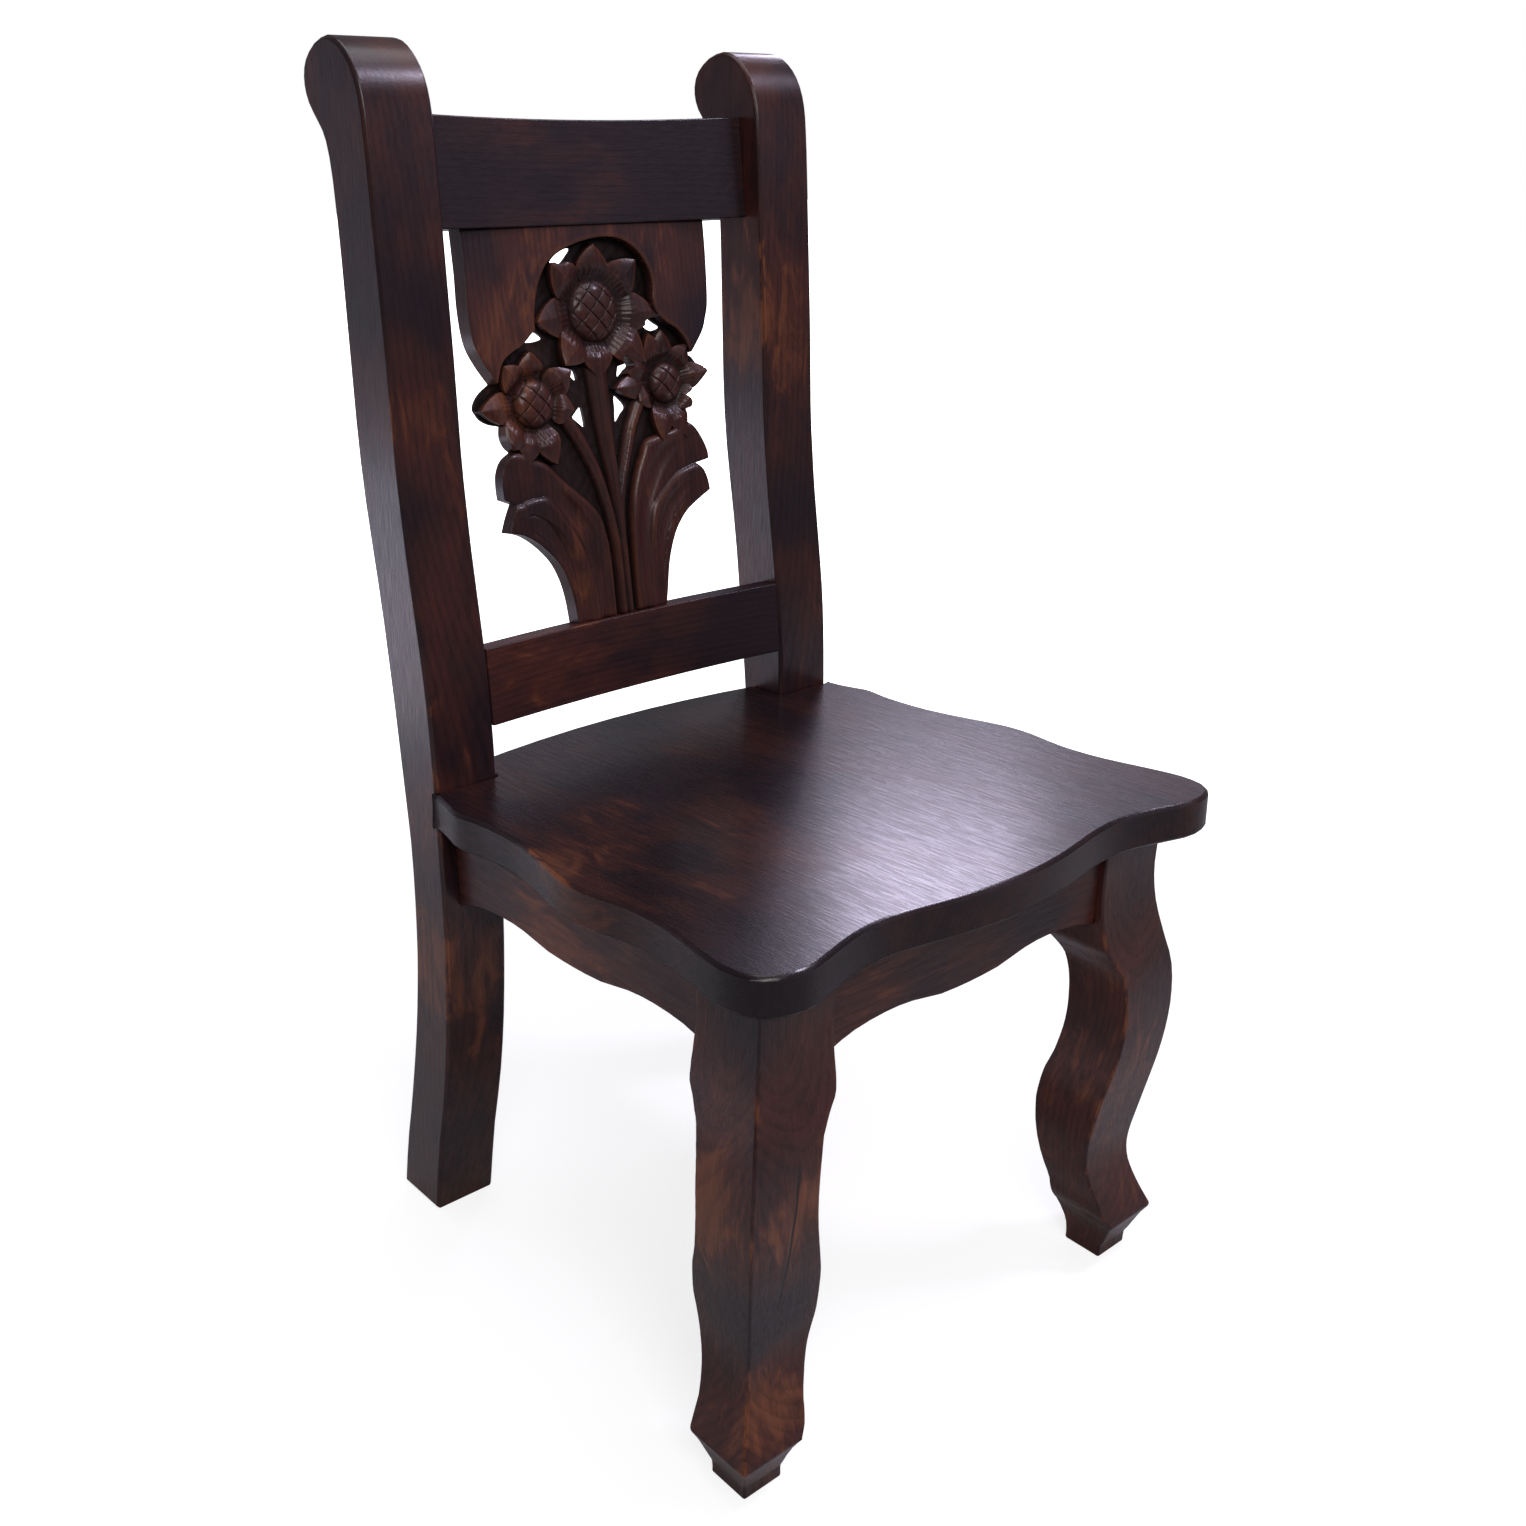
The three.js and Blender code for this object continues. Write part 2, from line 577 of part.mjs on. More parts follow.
function rearTenon(side, grow = 0, room = 0) {
  const face = side * postInner;
  const y = rearApronFace + apronThickness / 2;
  const top = seatTopAt(y) - seatThickness - apronTenonShoulder;
  const bottom = seatTopAt(y) - seatThickness - rearApronDepth + apronTenonShoulder;
  const low = [face - apronTenonLength, y - apronTenonThickness / 2, bottom];
  const high = [face + apronTenonLength, y + apronTenonThickness / 2, top];
  return apronTenon(low, high, 0, grow, room);
}

function rearApron() {
  const end = postInner - fit;
  const bottom = seatTopAt(rearApronFace) - seatThickness - rearApronDepth;
  const low = [-end, rearApronFace, bottom];
  const high = [end, rearApronFace + apronThickness, seatTopAt(rearApronFace)];
  return box(low, high)
    .add(rearTenon(-1))
    .add(rearTenon(1))
    .subtract(aboveUnderside());
}

// Rails of the back, bowed in plan and leaning with the posts

const lowerRail = {
  rise: lowerRailRise,
  height: lowerRailHeight,
  thickness: lowerRailThickness,
  lean: lowerRailLean,
  face: postFrontAt(lowerRailRise),
};
const crestRail = {
  rise: crestRise,
  height: crestHeight,
  thickness: crestThickness,
  lean: crestLean,
  face: postFrontAt(crestRise) + crestSetback,
};

function railPlace(rail) {
  return new THREE.Matrix4()
    .makeTranslation(0, rail.face, rail.rise)
    .multiply(new THREE.Matrix4().makeRotationX(-THREE.MathUtils.degToRad(rail.lean)));
}

function railBoard(rail, grow = 0) {
  const end = postInner - fit;
  const front = [];
  const back = [];
  for (let i = 0; i <= railSteps; i += 1) {
    const share = (2 * i) / railSteps - 1;
    const bow = railBow * (1 - share * share);
    front.push(new THREE.Vector2(share * end, bow - grow));
    back.push(new THREE.Vector2(share * end, bow + rail.thickness + grow));
  }
  const geometry = new THREE.ExtrudeGeometry(new THREE.Shape([...front, ...back.reverse()]), {
    depth: rail.height + 2 * grow,
    bevelEnabled: false,
  });
  return solidOf(geometry.translate(0, 0, -grow).applyMatrix4(railPlace(rail)));
}

function railTenon(rail, side, grow = 0, room = 0) {
  const middle = rail.thickness / 2;
  const ends = [side * (postInner - railTenonLength / 2), side * (postInner + railTenonLength + room)];
  ends.sort((a, b) => a - b);
  const low = [ends[0], middle - railTenonThickness / 2 - grow, railTenonShoulder - grow];
  const high = [ends[1], middle + railTenonThickness / 2 + grow, rail.height - railTenonShoulder + grow];
  return box(low, high, railPlace(rail));
}

// The upper edge of the crest sags a little towards the middle
function crestHollow() {
  const edge = [new THREE.Vector2(postInner, overrun), new THREE.Vector2(-postInner, overrun)];
  for (let i = 0; i <= railSteps; i += 1) {
    const share = (2 * i) / railSteps - 1;
    edge.push(new THREE.Vector2(share * postInner, -crestDip * (1 - share * share)));
  }
  const points = edge.map((p) => new THREE.Vector2(p.x, p.y + crestHeight));
  const basis = new THREE.Matrix4().makeBasis(
    new THREE.Vector3(1, 0, 0), new THREE.Vector3(0, 0, 1), new THREE.Vector3(0, -1, 0),
  );
  basis.setPosition(0, crestThickness + railBow + overrun, 0);
  const depth = crestThickness + railBow + 2 * overrun;
  return solidOf(prism(points, depth, basis).applyMatrix4(railPlace(crestRail)));
}

// The splat stands between the rails. Its own frame has X across, Y up the board
// and Z towards the sitter, and zero is the face of the board.

function railPoint(rail, up) {
  return new THREE.Vector3(0, railBow, up).applyMatrix4(railPlace(rail));
}

const splatFoot = railPoint(lowerRail, lowerRailHeight);
const splatHead = railPoint(crestRail, 0);
splatFoot.y += splatInset;
splatHead.y += splatInset;
const splatHeight = splatFoot.distanceTo(splatHead);
const splatLean = Math.atan2(splatHead.y - splatFoot.y, splatHead.z - splatFoot.z);
const splatPlace = new THREE.Matrix4()
  .makeTranslation(splatOffset, splatFoot.y, splatFoot.z)
  .multiply(new THREE.Matrix4().makeRotationX(Math.PI / 2 - splatLean));

function splatPoints(shares) {
  return scaled(shares, splatHalf, splatHeight).map(([a, b]) => new THREE.Vector2(a, b));
}

function splatRun(shares) {
  const points = splatPoints(shares);
  return points.length < 3 ? points : new THREE.SplineCurve(points).getPoints(2 * (points.length - 1));
}

function raised(points, low, high, holes = []) {
  const shape = new THREE.Shape(points);
  shape.holes = holes.map((hole) => new THREE.Path(hole));
  const geometry = new THREE.ExtrudeGeometry(shape, { depth: high - low, bevelEnabled: false });
  return solidOf(geometry.translate(0, 0, low));
}

function closedCurve(shares, steps) {
  const points = splatPoints(shares).map((p) => new THREE.Vector3(p.x, p.y, 0));
  const curve = new THREE.CatmullRomCurve3(points, true);
  return curve.getPoints(steps).slice(0, -1).map((p) => new THREE.Vector2(p.x, p.y));
}

function splatBoard(low, high, holes = []) {
  const outline = splatOutlineShares.flatMap((run) => splatRun(run).slice(0, -1));
  outline.push(...splatPoints([splatOutlineShares[splatOutlineShares.length - 1].slice(-1)[0]]));
  return raised(outline, low, high, holes);
}

function splatGround() {
  const holes = splatHoleShares.map((shares) => closedCurve(shares, 2 * shares.length));
  return splatBoard(-splatThickness, -groundDepth, holes);
}

function shield() {
  const outline = [
    ...splatRun(splatOutlineShares[0]),
    ...splatRun(shieldLeftShares).slice(1),
    ...splatRun(archShares).slice(1),
    ...splatRun(shieldRightShares).slice(1),
    ...splatRun(splatOutlineShares[splatOutlineShares.length - 1]).slice(1),
  ];
  return raised(outline, -splatThickness, 0);
}

// A petal rises from its root beside the disc to its belly and has a ridge along its middle
function petal(centre, disc, bearing, reach) {
  const angle = THREE.MathUtils.degToRad(bearing);
  const root = disc * petalRootShare;
  const belly = root + (reach - root) * petalBellyShare;
  const flank = root + (reach - root) * petalFlankShare;
  const floor = -groundDepth - fit;
  const rows = [
    [root, disc * petalNeckShare, -groundDepth, -petalRootDepth],
    [belly, disc * petalWidthShare, -petalEdgeDepth, -petalRidgeDepth],
    [flank, disc * petalTaperShare, -petalEdgeDepth, -petalRidgeDepth],
    [reach, 0, -petalTipDepth, -petalTipDepth],
  ];
  const points = [];
  for (const [along, half, edge, ridge] of rows) {
    for (const hand of [-half, half]) {
      points.push(new THREE.Vector3(along, hand, edge), new THREE.Vector3(along, hand, floor));
    }
    points.push(new THREE.Vector3(along, 0, ridge));
  }
  const geometry = new ConvexGeometry(points).rotateZ(angle).translate(centre.x, centre.y, 0);
  return solidOf(geometry);
}

function dome(centre, disc, extra) {
  const radius = disc / 2 + extra;
  const geometry = new THREE.SphereGeometry(radius, discRings, discRows).rotateX(Math.PI / 2);
  geometry.scale(1, 1, (discCrown + extra) / radius);
  const low = [-disc, -disc, -discRootDepth];
  const high = [disc, disc, disc];
  return solidOf(geometry).intersect(box(low, high)).translate([centre.x, centre.y, -discSeatDepth]);
}

// The seeds stand between two crossing sets of grooves
function seedGrooves(centre, disc) {
  const lines = Math.ceil(disc / hatchPitch / 2);
  const grooves = [];
  for (const turn of [Math.PI / 4, -Math.PI / 4]) {
    for (let i = -lines; i <= lines; i += 1) {
      const groove = new THREE.BoxGeometry(2 * disc, hatchWidth, 4 * discCrown);
      groove.translate(0, i * hatchPitch, 0).rotateZ(turn).translate(centre.x, centre.y, 0);
      grooves.push(solidOf(groove));
    }
  }
  return wasm.Manifold.union(grooves)
    .intersect(dome(centre, disc, 2 * hatchDepth))
    .subtract(dome(centre, disc, 0));
}

function rod(shares, width, rise, level) {
  const points = splatPoints(shares).map((p) => new THREE.Vector3(p.x, p.y, 0));
  const section = new THREE.EllipseCurve(0, 0, width / 2, width / 2, 0, 2 * Math.PI);
  const geometry = new THREE.ExtrudeGeometry(new THREE.Shape(section.getPoints(ribSides).slice(0, -1)), {
    steps: ribSteps,
    extrudePath: new THREE.CatmullRomCurve3(points),
    bevelEnabled: false,
  });
  return solidOf(geometry.scale(1, 1, (2 * rise) / width).translate(0, 0, level));
}

// The grooves leave a few loose splinters at the rims, which a carver brushes off
function withoutSplinters(work) {
  return work.decompose().reduce((a, b) => (a.volume() > b.volume() ? a : b));
}

function carving() {
  let work = splatGround().add(shield());
  for (const shares of upperLeafShares) {
    work = work.add(raised(closedCurve(shares, 2 * shares.length), -splatThickness, -upperLeafDepth));
  }
  for (const shares of lowerLeafShares) {
    work = work.add(raised(closedCurve(shares, 2 * shares.length), -splatThickness, -lowerLeafDepth));
  }
  for (const shares of ribShares) {
    work = work.add(rod(shares, ribWidth, ribRise, -upperLeafDepth));
  }
  for (const shares of stemShares) {
    work = work.add(rod(shares, stemWidth, stemRise, -groundDepth));
  }
  for (const flower of flowers) {
    const [centre] = splatPoints([flower.centreShares]);
    for (const [bearing, reachShare] of flower.petals) {
      work = work.add(petal(centre, flower.disc, bearing, reachShare * splatHalf));
    }
    work = work.add(dome(centre, flower.disc, hatchDepth)).subtract(seedGrooves(centre, flower.disc));
  }
  return withoutSplinters(work.intersect(splatBoard(-splatThickness, splatThickness)));
}

const [splatFootLeft, splatFootRight] = splatPoints(splatOutlineShares.flat())
  .filter((p) => p.y === 0)
  .map((p) => p.x);

function splatTenon(atCrest, grow = 0, room = 0) {
  const [left, right] = atCrest ? [-splatHalf, splatHalf] : [splatFootLeft, splatFootRight];
  const shoulder = atCrest ? topTenonShoulder : footTenonShoulder;
  const middle = -splatThickness / 2;
  const base = atCrest ? splatHeight : 0;
  const way = atCrest ? 1 : -1;
  const ends = [base - way * splatTenonLap, base + way * (splatTenonLength + room)].sort((a, b) => a - b);
  const low = [left + shoulder - grow, ends[0], middle - splatTenonThickness / 2 - grow];
  const high = [right - shoulder + grow, ends[1], middle + splatTenonThickness / 2 + grow];
  return box(low, high, splatPlace);
}

function carvedSplat() {
  return carving()
    .transform(splatPlace.elements)
    .subtract(railBoard(crestRail, fit))
    .subtract(railBoard(lowerRail, fit))
    .add(splatTenon(true))
    .add(splatTenon(false));
}

// Corner blocks under the seat, each fitted round the inner corner of a leg or post

function blockPlan(atFront) {
  const way = atFront ? 1 : -1;
  const corner = atFront ? legBlockFace : { x: postInner, y: 0 };
  const notch = new THREE.Vector3(corner.x - fit, corner.y + way * fit, 0);
  const wall = sideApronFace - apronThickness - fit;
  const rail = atFront ? frontApronFace + apronThickness + fit : rearApronFace - fit;
  const reach = atFront ? frontBlockReach : rearBlockReach;
  const level = seatTopAt(notch.y) - seatThickness - blockHeight;
  return { way, notch, wall, rail, reach, level };
}

function cornerBlock(side, { way, notch, wall, rail, reach, level }) {
  const outline = [
    [wall, notch.y],
    [wall, notch.y + way * reach],
    [notch.x - reach, rail],
    [notch.x, rail],
    [notch.x, notch.y],
  ].map(([x, y]) => new THREE.Vector2(side * x, y));
  const geometry = new THREE.ExtrudeGeometry(new THREE.Shape(outline), {
    depth: 2 * blockHeight,
    bevelEnabled: false,
  });
  return solidOf(geometry.translate(0, 0, level)).subtract(aboveUnderside());
}

// A slotted wood screw. Its own zero is the joint face, and +Y runs to its tip.

function round(startRadius, endRadius, start, end) {
  const geometry = new THREE.CylinderGeometry(endRadius, startRadius, end - start, screwSides);
  return solidOf(geometry.translate(0, (start + end) / 2, 0));
}

function screwSolids(grip, bite) {
  const shank = screwDiameter / 2;
  const head = screwHeadDiameter / 2;
  const top = -grip - screwHeadHeight;
  const slot = box(
    [-screwHeadDiameter, top - screwSlotDepth, -screwSlotWidth / 2],
    [screwHeadDiameter, top + screwSlotDepth, screwSlotWidth / 2],
  );
  const screw = round(shank, shank, top + screwSlotDepth, bite)
    .add(round(head, shank, top, -grip))
    .subtract(slot);
  const hole = round(shank + fit, shank + fit, top, bite + tenonEndRoom)
    .add(round(head + fit, shank + fit, top, -grip))
    .add(round(head + fit, head + fit, top - overrun, top + fit));
  return { screw, hole };
}

function placed({ screw, hole }, point, direction) {
  const turn = new THREE.Quaternion().setFromUnitVectors(new THREE.Vector3(0, 1, 0), direction);
  const place = new THREE.Matrix4().makeRotationFromQuaternion(turn).setPosition(point);
  return { screw: screw.transform(place.elements), hole: hole.transform(place.elements) };
}

function blockScrews(side, { way, notch, wall, rail, reach, level }) {
  const height = level + blockHeight / 2;
  const sideways = new THREE.Vector3(side * wall, notch.y + way * blockScrewSetback, height);
  const endways = new THREE.Vector3(side * (notch.x - blockScrewSetback), rail, height);
  const face = new THREE.Line3(
    new THREE.Vector3(wall, notch.y + way * reach, 0),
    new THREE.Vector3(notch.x - reach, rail, 0),
  );
  const middle = face.closestPointToPoint(notch, false, new THREE.Vector3()).lerp(notch, 0.5);
  const upright = new THREE.Vector3(side * middle.x, middle.y, seatTopAt(middle.y) - seatThickness);
  const short = screwSolids(blockScrewGripLength, blockScrewBiteLength);
  const long = screwSolids(seatScrewGripLength, seatScrewBiteLength);
  return {
    toSide: placed(short, sideways, new THREE.Vector3(side, 0, 0)),
    toEnd: placed(short, endways, new THREE.Vector3(0, -way, 0)),
    toSeat: placed(long, upright, new THREE.Vector3(0, 0, 1)),
  };
}

// Assembly

const chair = new THREE.Group();

function addPiece(name, solid, material) {
  chair.add(meshOf(name, solid, material));
}

let seat = seatBoard();
let apronFront = frontApron();
let apronRear = rearApron();

for (const [side, hand] of [[-1, 'right'], [1, 'left']]) {
  let apronSide = sideApron(side);
  for (const [atFront, place] of [[true, 'front'], [false, 'rear']]) {
    const plan = blockPlan(atFront);
    const { toSide, toEnd, toSeat } = blockScrews(side, plan);
    const block = cornerBlock(side, plan)
      .subtract(toSide.hole)
      .subtract(toEnd.hole)
      .subtract(toSeat.hole);
    apronSide = apronSide.subtract(toSide.hole);
    seat = seat.subtract(toSeat.hole);
    if (atFront) {
      apronFront = apronFront.subtract(toEnd.hole);
    } else {
      apronRear = apronRear.subtract(toEnd.hole);
    }
    addPiece(`corner_block_${place}_${hand}`, block, hiddenPine);
    addPiece(`side_apron_screw_${place}_${hand}`, toSide.screw, zincSteel);
    addPiece(`${place}_apron_screw_${hand}`, toEnd.screw, zincSteel);
    addPiece(`seat_screw_${place}_${hand}`, toSeat.screw, zincSteel);
  }
  const post = postBlank(side)
    .subtract(railTenon(lowerRail, side, fit, tenonEndRoom))
    .subtract(railTenon(crestRail, side, fit, tenonEndRoom))
    .subtract(sideTenon(side, false, fit, tenonEndRoom))
    .subtract(rearTenon(side, fit, tenonEndRoom));
  const leg = legBlank(side)
    .subtract(sideTenon(side, true, fit, tenonEndRoom))
    .subtract(frontTenon(side, fit, tenonEndRoom))
    .subtract(aboveUnderside());
  addPiece(`back_post_${hand}`, post, darkWalnut);
  addPiece(`front_leg_${hand}`, leg, warmWalnut);
  addPiece(`side_apron_${hand}`, apronSide, darkWalnut);
}

const crest = railBoard(crestRail)
  .subtract(crestHollow())
  .add(railTenon(crestRail, -1))
  .add(railTenon(crestRail, 1))
  .subtract(splatTenon(true, fit, tenonEndRoom));
const lower = railBoard(lowerRail)
  .add(railTenon(lowerRail, -1))
  .add(railTenon(lowerRail, 1))
  .subtract(splatTenon(false, fit, tenonEndRoom));

addPiece('crest_rail', crest, darkWalnut);
addPiece('lower_back_rail', lower, darkWalnut);
addPiece('carved_splat', carvedSplat(), warmWalnut);
addPiece('seat_board', seat, glossWalnut);
addPiece('front_apron', apronFront, darkWalnut);
addPiece('rear_apron', apronRear, darkWalnut);

// The chair is centred over the middle of its own plan and stands on Z = 0
const bounds = new THREE.Box3().setFromObject(chair);
const centre = bounds.getCenter(new THREE.Vector3());
for (const mesh of chair.children) {
  mesh.geometry.translate(-centre.x, -centre.y, -bounds.min.z);
}

export default chair;
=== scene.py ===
"""A dark, carved dining chair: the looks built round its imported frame.

Lengths are metres in the frame's own axes: +Z up, -Y the way the sitter faces. The carving is worked out
in millimetres on the splat's own board, with x across, y up the board and z towards the sitter.
"""

import math

import bmesh
import bpy
import numpy as np
from bpy.props import FloatProperty, FloatVectorProperty, IntProperty, PointerProperty
from mathutils import Matrix, Vector
from mathutils.geometry import delaunay_2d_cdt


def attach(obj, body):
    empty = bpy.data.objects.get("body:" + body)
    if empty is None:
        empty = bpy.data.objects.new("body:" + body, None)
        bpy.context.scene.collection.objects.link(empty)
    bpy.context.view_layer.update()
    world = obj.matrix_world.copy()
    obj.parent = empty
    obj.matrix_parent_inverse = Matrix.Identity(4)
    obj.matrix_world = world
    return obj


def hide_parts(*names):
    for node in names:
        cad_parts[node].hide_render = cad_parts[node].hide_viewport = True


bl_info = {
    "name": "Carved dining chair",
    "version": (1, 0, 0),
    "blender": (4, 5, 0),
    "location": "View3D > Sidebar > Chair",
    "description": "Builds a dark carved dining chair round its packed frame",
    "category": "Add Mesh",
}

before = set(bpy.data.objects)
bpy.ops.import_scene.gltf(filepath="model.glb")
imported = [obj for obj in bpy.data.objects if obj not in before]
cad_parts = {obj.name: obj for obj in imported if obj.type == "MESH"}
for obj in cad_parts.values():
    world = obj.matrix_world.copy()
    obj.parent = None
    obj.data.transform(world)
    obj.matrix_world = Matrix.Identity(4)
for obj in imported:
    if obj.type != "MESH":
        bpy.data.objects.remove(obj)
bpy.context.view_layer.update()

MM = 0.001

# The splat's board: its size, its lean and the middle of its foot on the lower rail
BOARD_WIDTH = 254.0
BOARD_HEIGHT = 336.8
BOARD_THICKNESS = 17.0
BOARD_LEAN = math.radians(9.512)
BOARD_OFFSET = -6.0
BOARD_FOOT_Y = 27.714 + 141.723
BOARD_FOOT_Z = 551.437

# Outline of the splat, as shares of half its width and of its height. Each run is smooth.
OUTLINE_SHARES = [
    [(-1.005, 1), (-1.008, 0.903), (-1.02, 0.813), (-1.005, 0.736), (-0.948, 0.685), (-0.855, 0.632)],
    [(-0.855, 0.632), (-0.94, 0.612), (-0.99, 0.59), (-1.002, 0.574)],
    [(-1.002, 0.574), (-0.96, 0.55), (-0.9, 0.536), (-0.811, 0.527)],
    [(-0.811, 0.527), (-0.82, 0.5), (-0.797, 0.476), (-0.757, 0.46)],
    [(-0.757, 0.46), (-0.835, 0.442), (-0.88, 0.413), (-0.893, 0.38), (-0.892, 0.347)],
    [(-0.892, 0.347), (-0.8, 0.332)],
    [(-0.8, 0.332), (-0.848, 0.3), (-0.89, 0.264)],
    [(-0.89, 0.264), (-0.767, 0.25), (-0.647, 0.218), (-0.531, 0.17), (-0.468, 0.12),
     (-0.435, 0.066), (-0.42, 0)],
    [(0.379, 0), (0.401, 0.038), (0.447, 0.118), (0.516, 0.182), (0.586, 0.219), (0.661, 0.245),
     (0.764, 0.267), (0.887, 0.289)],
    [(0.887, 0.289), (0.875, 0.318), (0.845, 0.343), (0.788, 0.366)],
    [(0.788, 0.366), (0.85, 0.369), (0.916, 0.373)],
    [(0.916, 0.373), (0.91, 0.395), (0.879, 0.423), (0.831, 0.452), (0.755, 0.479)],
    [(0.755, 0.479), (0.793, 0.505), (0.795, 0.531), (0.757, 0.55)],
    [(0.757, 0.55), (0.874, 0.574), (0.966, 0.607)],
    [(0.966, 0.607), (0.895, 0.645), (0.815, 0.66)],
    [(0.815, 0.66), (0.928, 0.71), (0.974, 0.747), (1.007, 0.793), (1.026, 0.907), (1.03, 1)],
]
# The run that ends at the left of the foot
FOOT_RUN = 7
HOLE_SHARES = [
    [(-0.27, 0.912), (-0.235, 0.927), (-0.17, 0.94), (-0.12, 0.946), (-0.078, 0.945), (-0.11, 0.93),
     (-0.174, 0.91), (-0.23, 0.908)],
    [(-0.55, 0.727), (-0.505, 0.739), (-0.464, 0.748), (-0.44, 0.747), (-0.39, 0.732),
     (-0.43, 0.726), (-0.5, 0.724)],
    [(0.45, 0.748), (0.49, 0.758), (0.53, 0.759), (0.585, 0.745), (0.632, 0.734), (0.59, 0.727),
     (0.52, 0.727)],
    [(-0.224, 0.636), (-0.19, 0.645), (-0.161, 0.645), (-0.144, 0.62), (-0.17, 0.62), (-0.2, 0.63)],
    [(0.2, 0.619), (0.215, 0.643), (0.228, 0.664), (0.256, 0.664), (0.31, 0.643), (0.27, 0.63),
     (0.225, 0.617)],
    [(0.142, 0.503), (0.148, 0.535), (0.155, 0.568), (0.181, 0.568), (0.25, 0.538), (0.21, 0.52),
     (0.166, 0.502)],
    [(-0.22, 0.527), (-0.19, 0.539), (-0.155, 0.55), (-0.131, 0.549), (-0.116, 0.499),
     (-0.14, 0.5), (-0.18, 0.513)],
]

# Lower edge of the plain shield, from the left notch over the arch to the right one
SHIELD_RUNS = [
    [(-0.855, 0.632), (-0.8, 0.68), (-0.72, 0.703), (-0.63, 0.718), (-0.535, 0.746), (-0.512, 0.75)],
    [(-0.512, 0.75), (-0.503, 0.79), (-0.475, 0.835), (-0.42, 0.88), (-0.33, 0.92), (-0.2, 0.944),
     (-0.05, 0.96), (0.12, 0.968), (0.28, 0.96), (0.41, 0.93), (0.49, 0.888), (0.518, 0.845),
     (0.508, 0.805)],
    [(0.508, 0.805), (0.53, 0.775), (0.6, 0.748), (0.7, 0.725), (0.77, 0.695), (0.815, 0.66)],
]

# Flowers: centre, radius of the seed head, and for every petal its bearing in degrees,
# its reach as a share of half the width, and how far it lies under its neighbours in millimetres
FLOWERS = {
    "centre": ((0.033, 0.788), 27.0, [
        (87, 0.44, 1.4), (41, 0.487, 0.0), (-5, 0.526, 1.0), (-45, 0.529, 0.0), (-94, 0.45, 1.2),
        (-133, 0.469, 0.0), (185, 0.506, 1.4), (137, 0.479, 0.2)]),
    "left": ((-0.549, 0.573), 21.5, [
        (92, 0.346, 1.0), (33, 0.363, 0.0), (-13, 0.31, 1.0), (-76, 0.43, 0.0), (-107, 0.409, 1.2),
        (-135, 0.405, 0.2), (181, 0.449, 1.2), (132, 0.358, 0.0)]),
    "right": ((0.594, 0.588), 19.0, [
        (8, 0.392, 0.2), (50, 0.33, 1.4), (95, 0.37, 0.0), (112, 0.38, 1.2), (155, 0.436, 0.0),
        (180, 0.472, 1.2), (-158, 0.295, 1.6), (-104, 0.41, 0.0), (-72, 0.42, 1.2), (-35, 0.3, 0.2)]),
}

# Leaves: depth of the crown under the board's face, and the upper edge. Each leaf fills the board from
# that edge to the outline and to the foot, and the lower pair lies over the upper one.
LEAVES = [
    (-3.6, [(-1.2, 0.47), (-0.757, 0.462), (-0.62, 0.44), (-0.5, 0.42), (-0.4, 0.38), (-0.268, 0.336),
            (-0.171, 0.302), (-0.1, 0.264), (-0.063, 0.211), (-0.05, 0.168), (-0.046, 0.139), (-0.05, 0),
            (-0.05, -0.1), (-1.2, -0.1)]),
    (-3.6, [(1.2, 0.49), (0.755, 0.481), (0.6, 0.465), (0.45, 0.455), (0.35, 0.44), (0.29, 0.4),
            (0.245, 0.368), (0.19, 0.31), (0.16, 0.24), (0.15, 0.15), (0.15, 0), (0.15, -0.1),
            (1.2, -0.1)]),
    (-1.2, [(-1.2, 0.33), (-0.8, 0.333), (-0.747, 0.338), (-0.64, 0.344), (-0.55, 0.34), (-0.489, 0.322),
            (-0.444, 0.3), (-0.4, 0.272), (-0.318, 0.218), (-0.265, 0.173), (-0.228, 0.124),
            (-0.204, 0.079), (-0.2, 0), (-0.2, -0.1), (-1.2, -0.1)]),
    (-1.2, [(1.2, 0.369), (0.788, 0.367), (0.727, 0.365), (0.586, 0.349), (0.454, 0.313), (0.352, 0.275),
            (0.306, 0.226), (0.285, 0.16), (0.27, 0.08), (0.26, 0), (0.26, -0.1), (1.2, -0.1)]),
]

# Stems: half width at the top and at the foot, rise, route
STEMS = [
    (12.0, 5.0, 9.4, [(0.007, 0.64), (0.02, 0.52), (0.04, 0.42), (0.06, 0.33), (0.07, 0.2), (0.07, -0.02)]),
    (7.5, 5.5, 8.6, [(0.34, 0.54), (0.25, 0.48), (0.205, 0.433), (0.16, 0.386), (0.115, 0.338),
                     (0.085, 0.28), (0.07, 0.2)]),
    (7.0, 5.0, 8.6, [(-0.32, 0.54), (-0.2, 0.47), (-0.12, 0.41), (-0.07, 0.36), (-0.03, 0.3), (0, 0.24),
                     (0.02, 0.17), (0.02, -0.02)]),
]

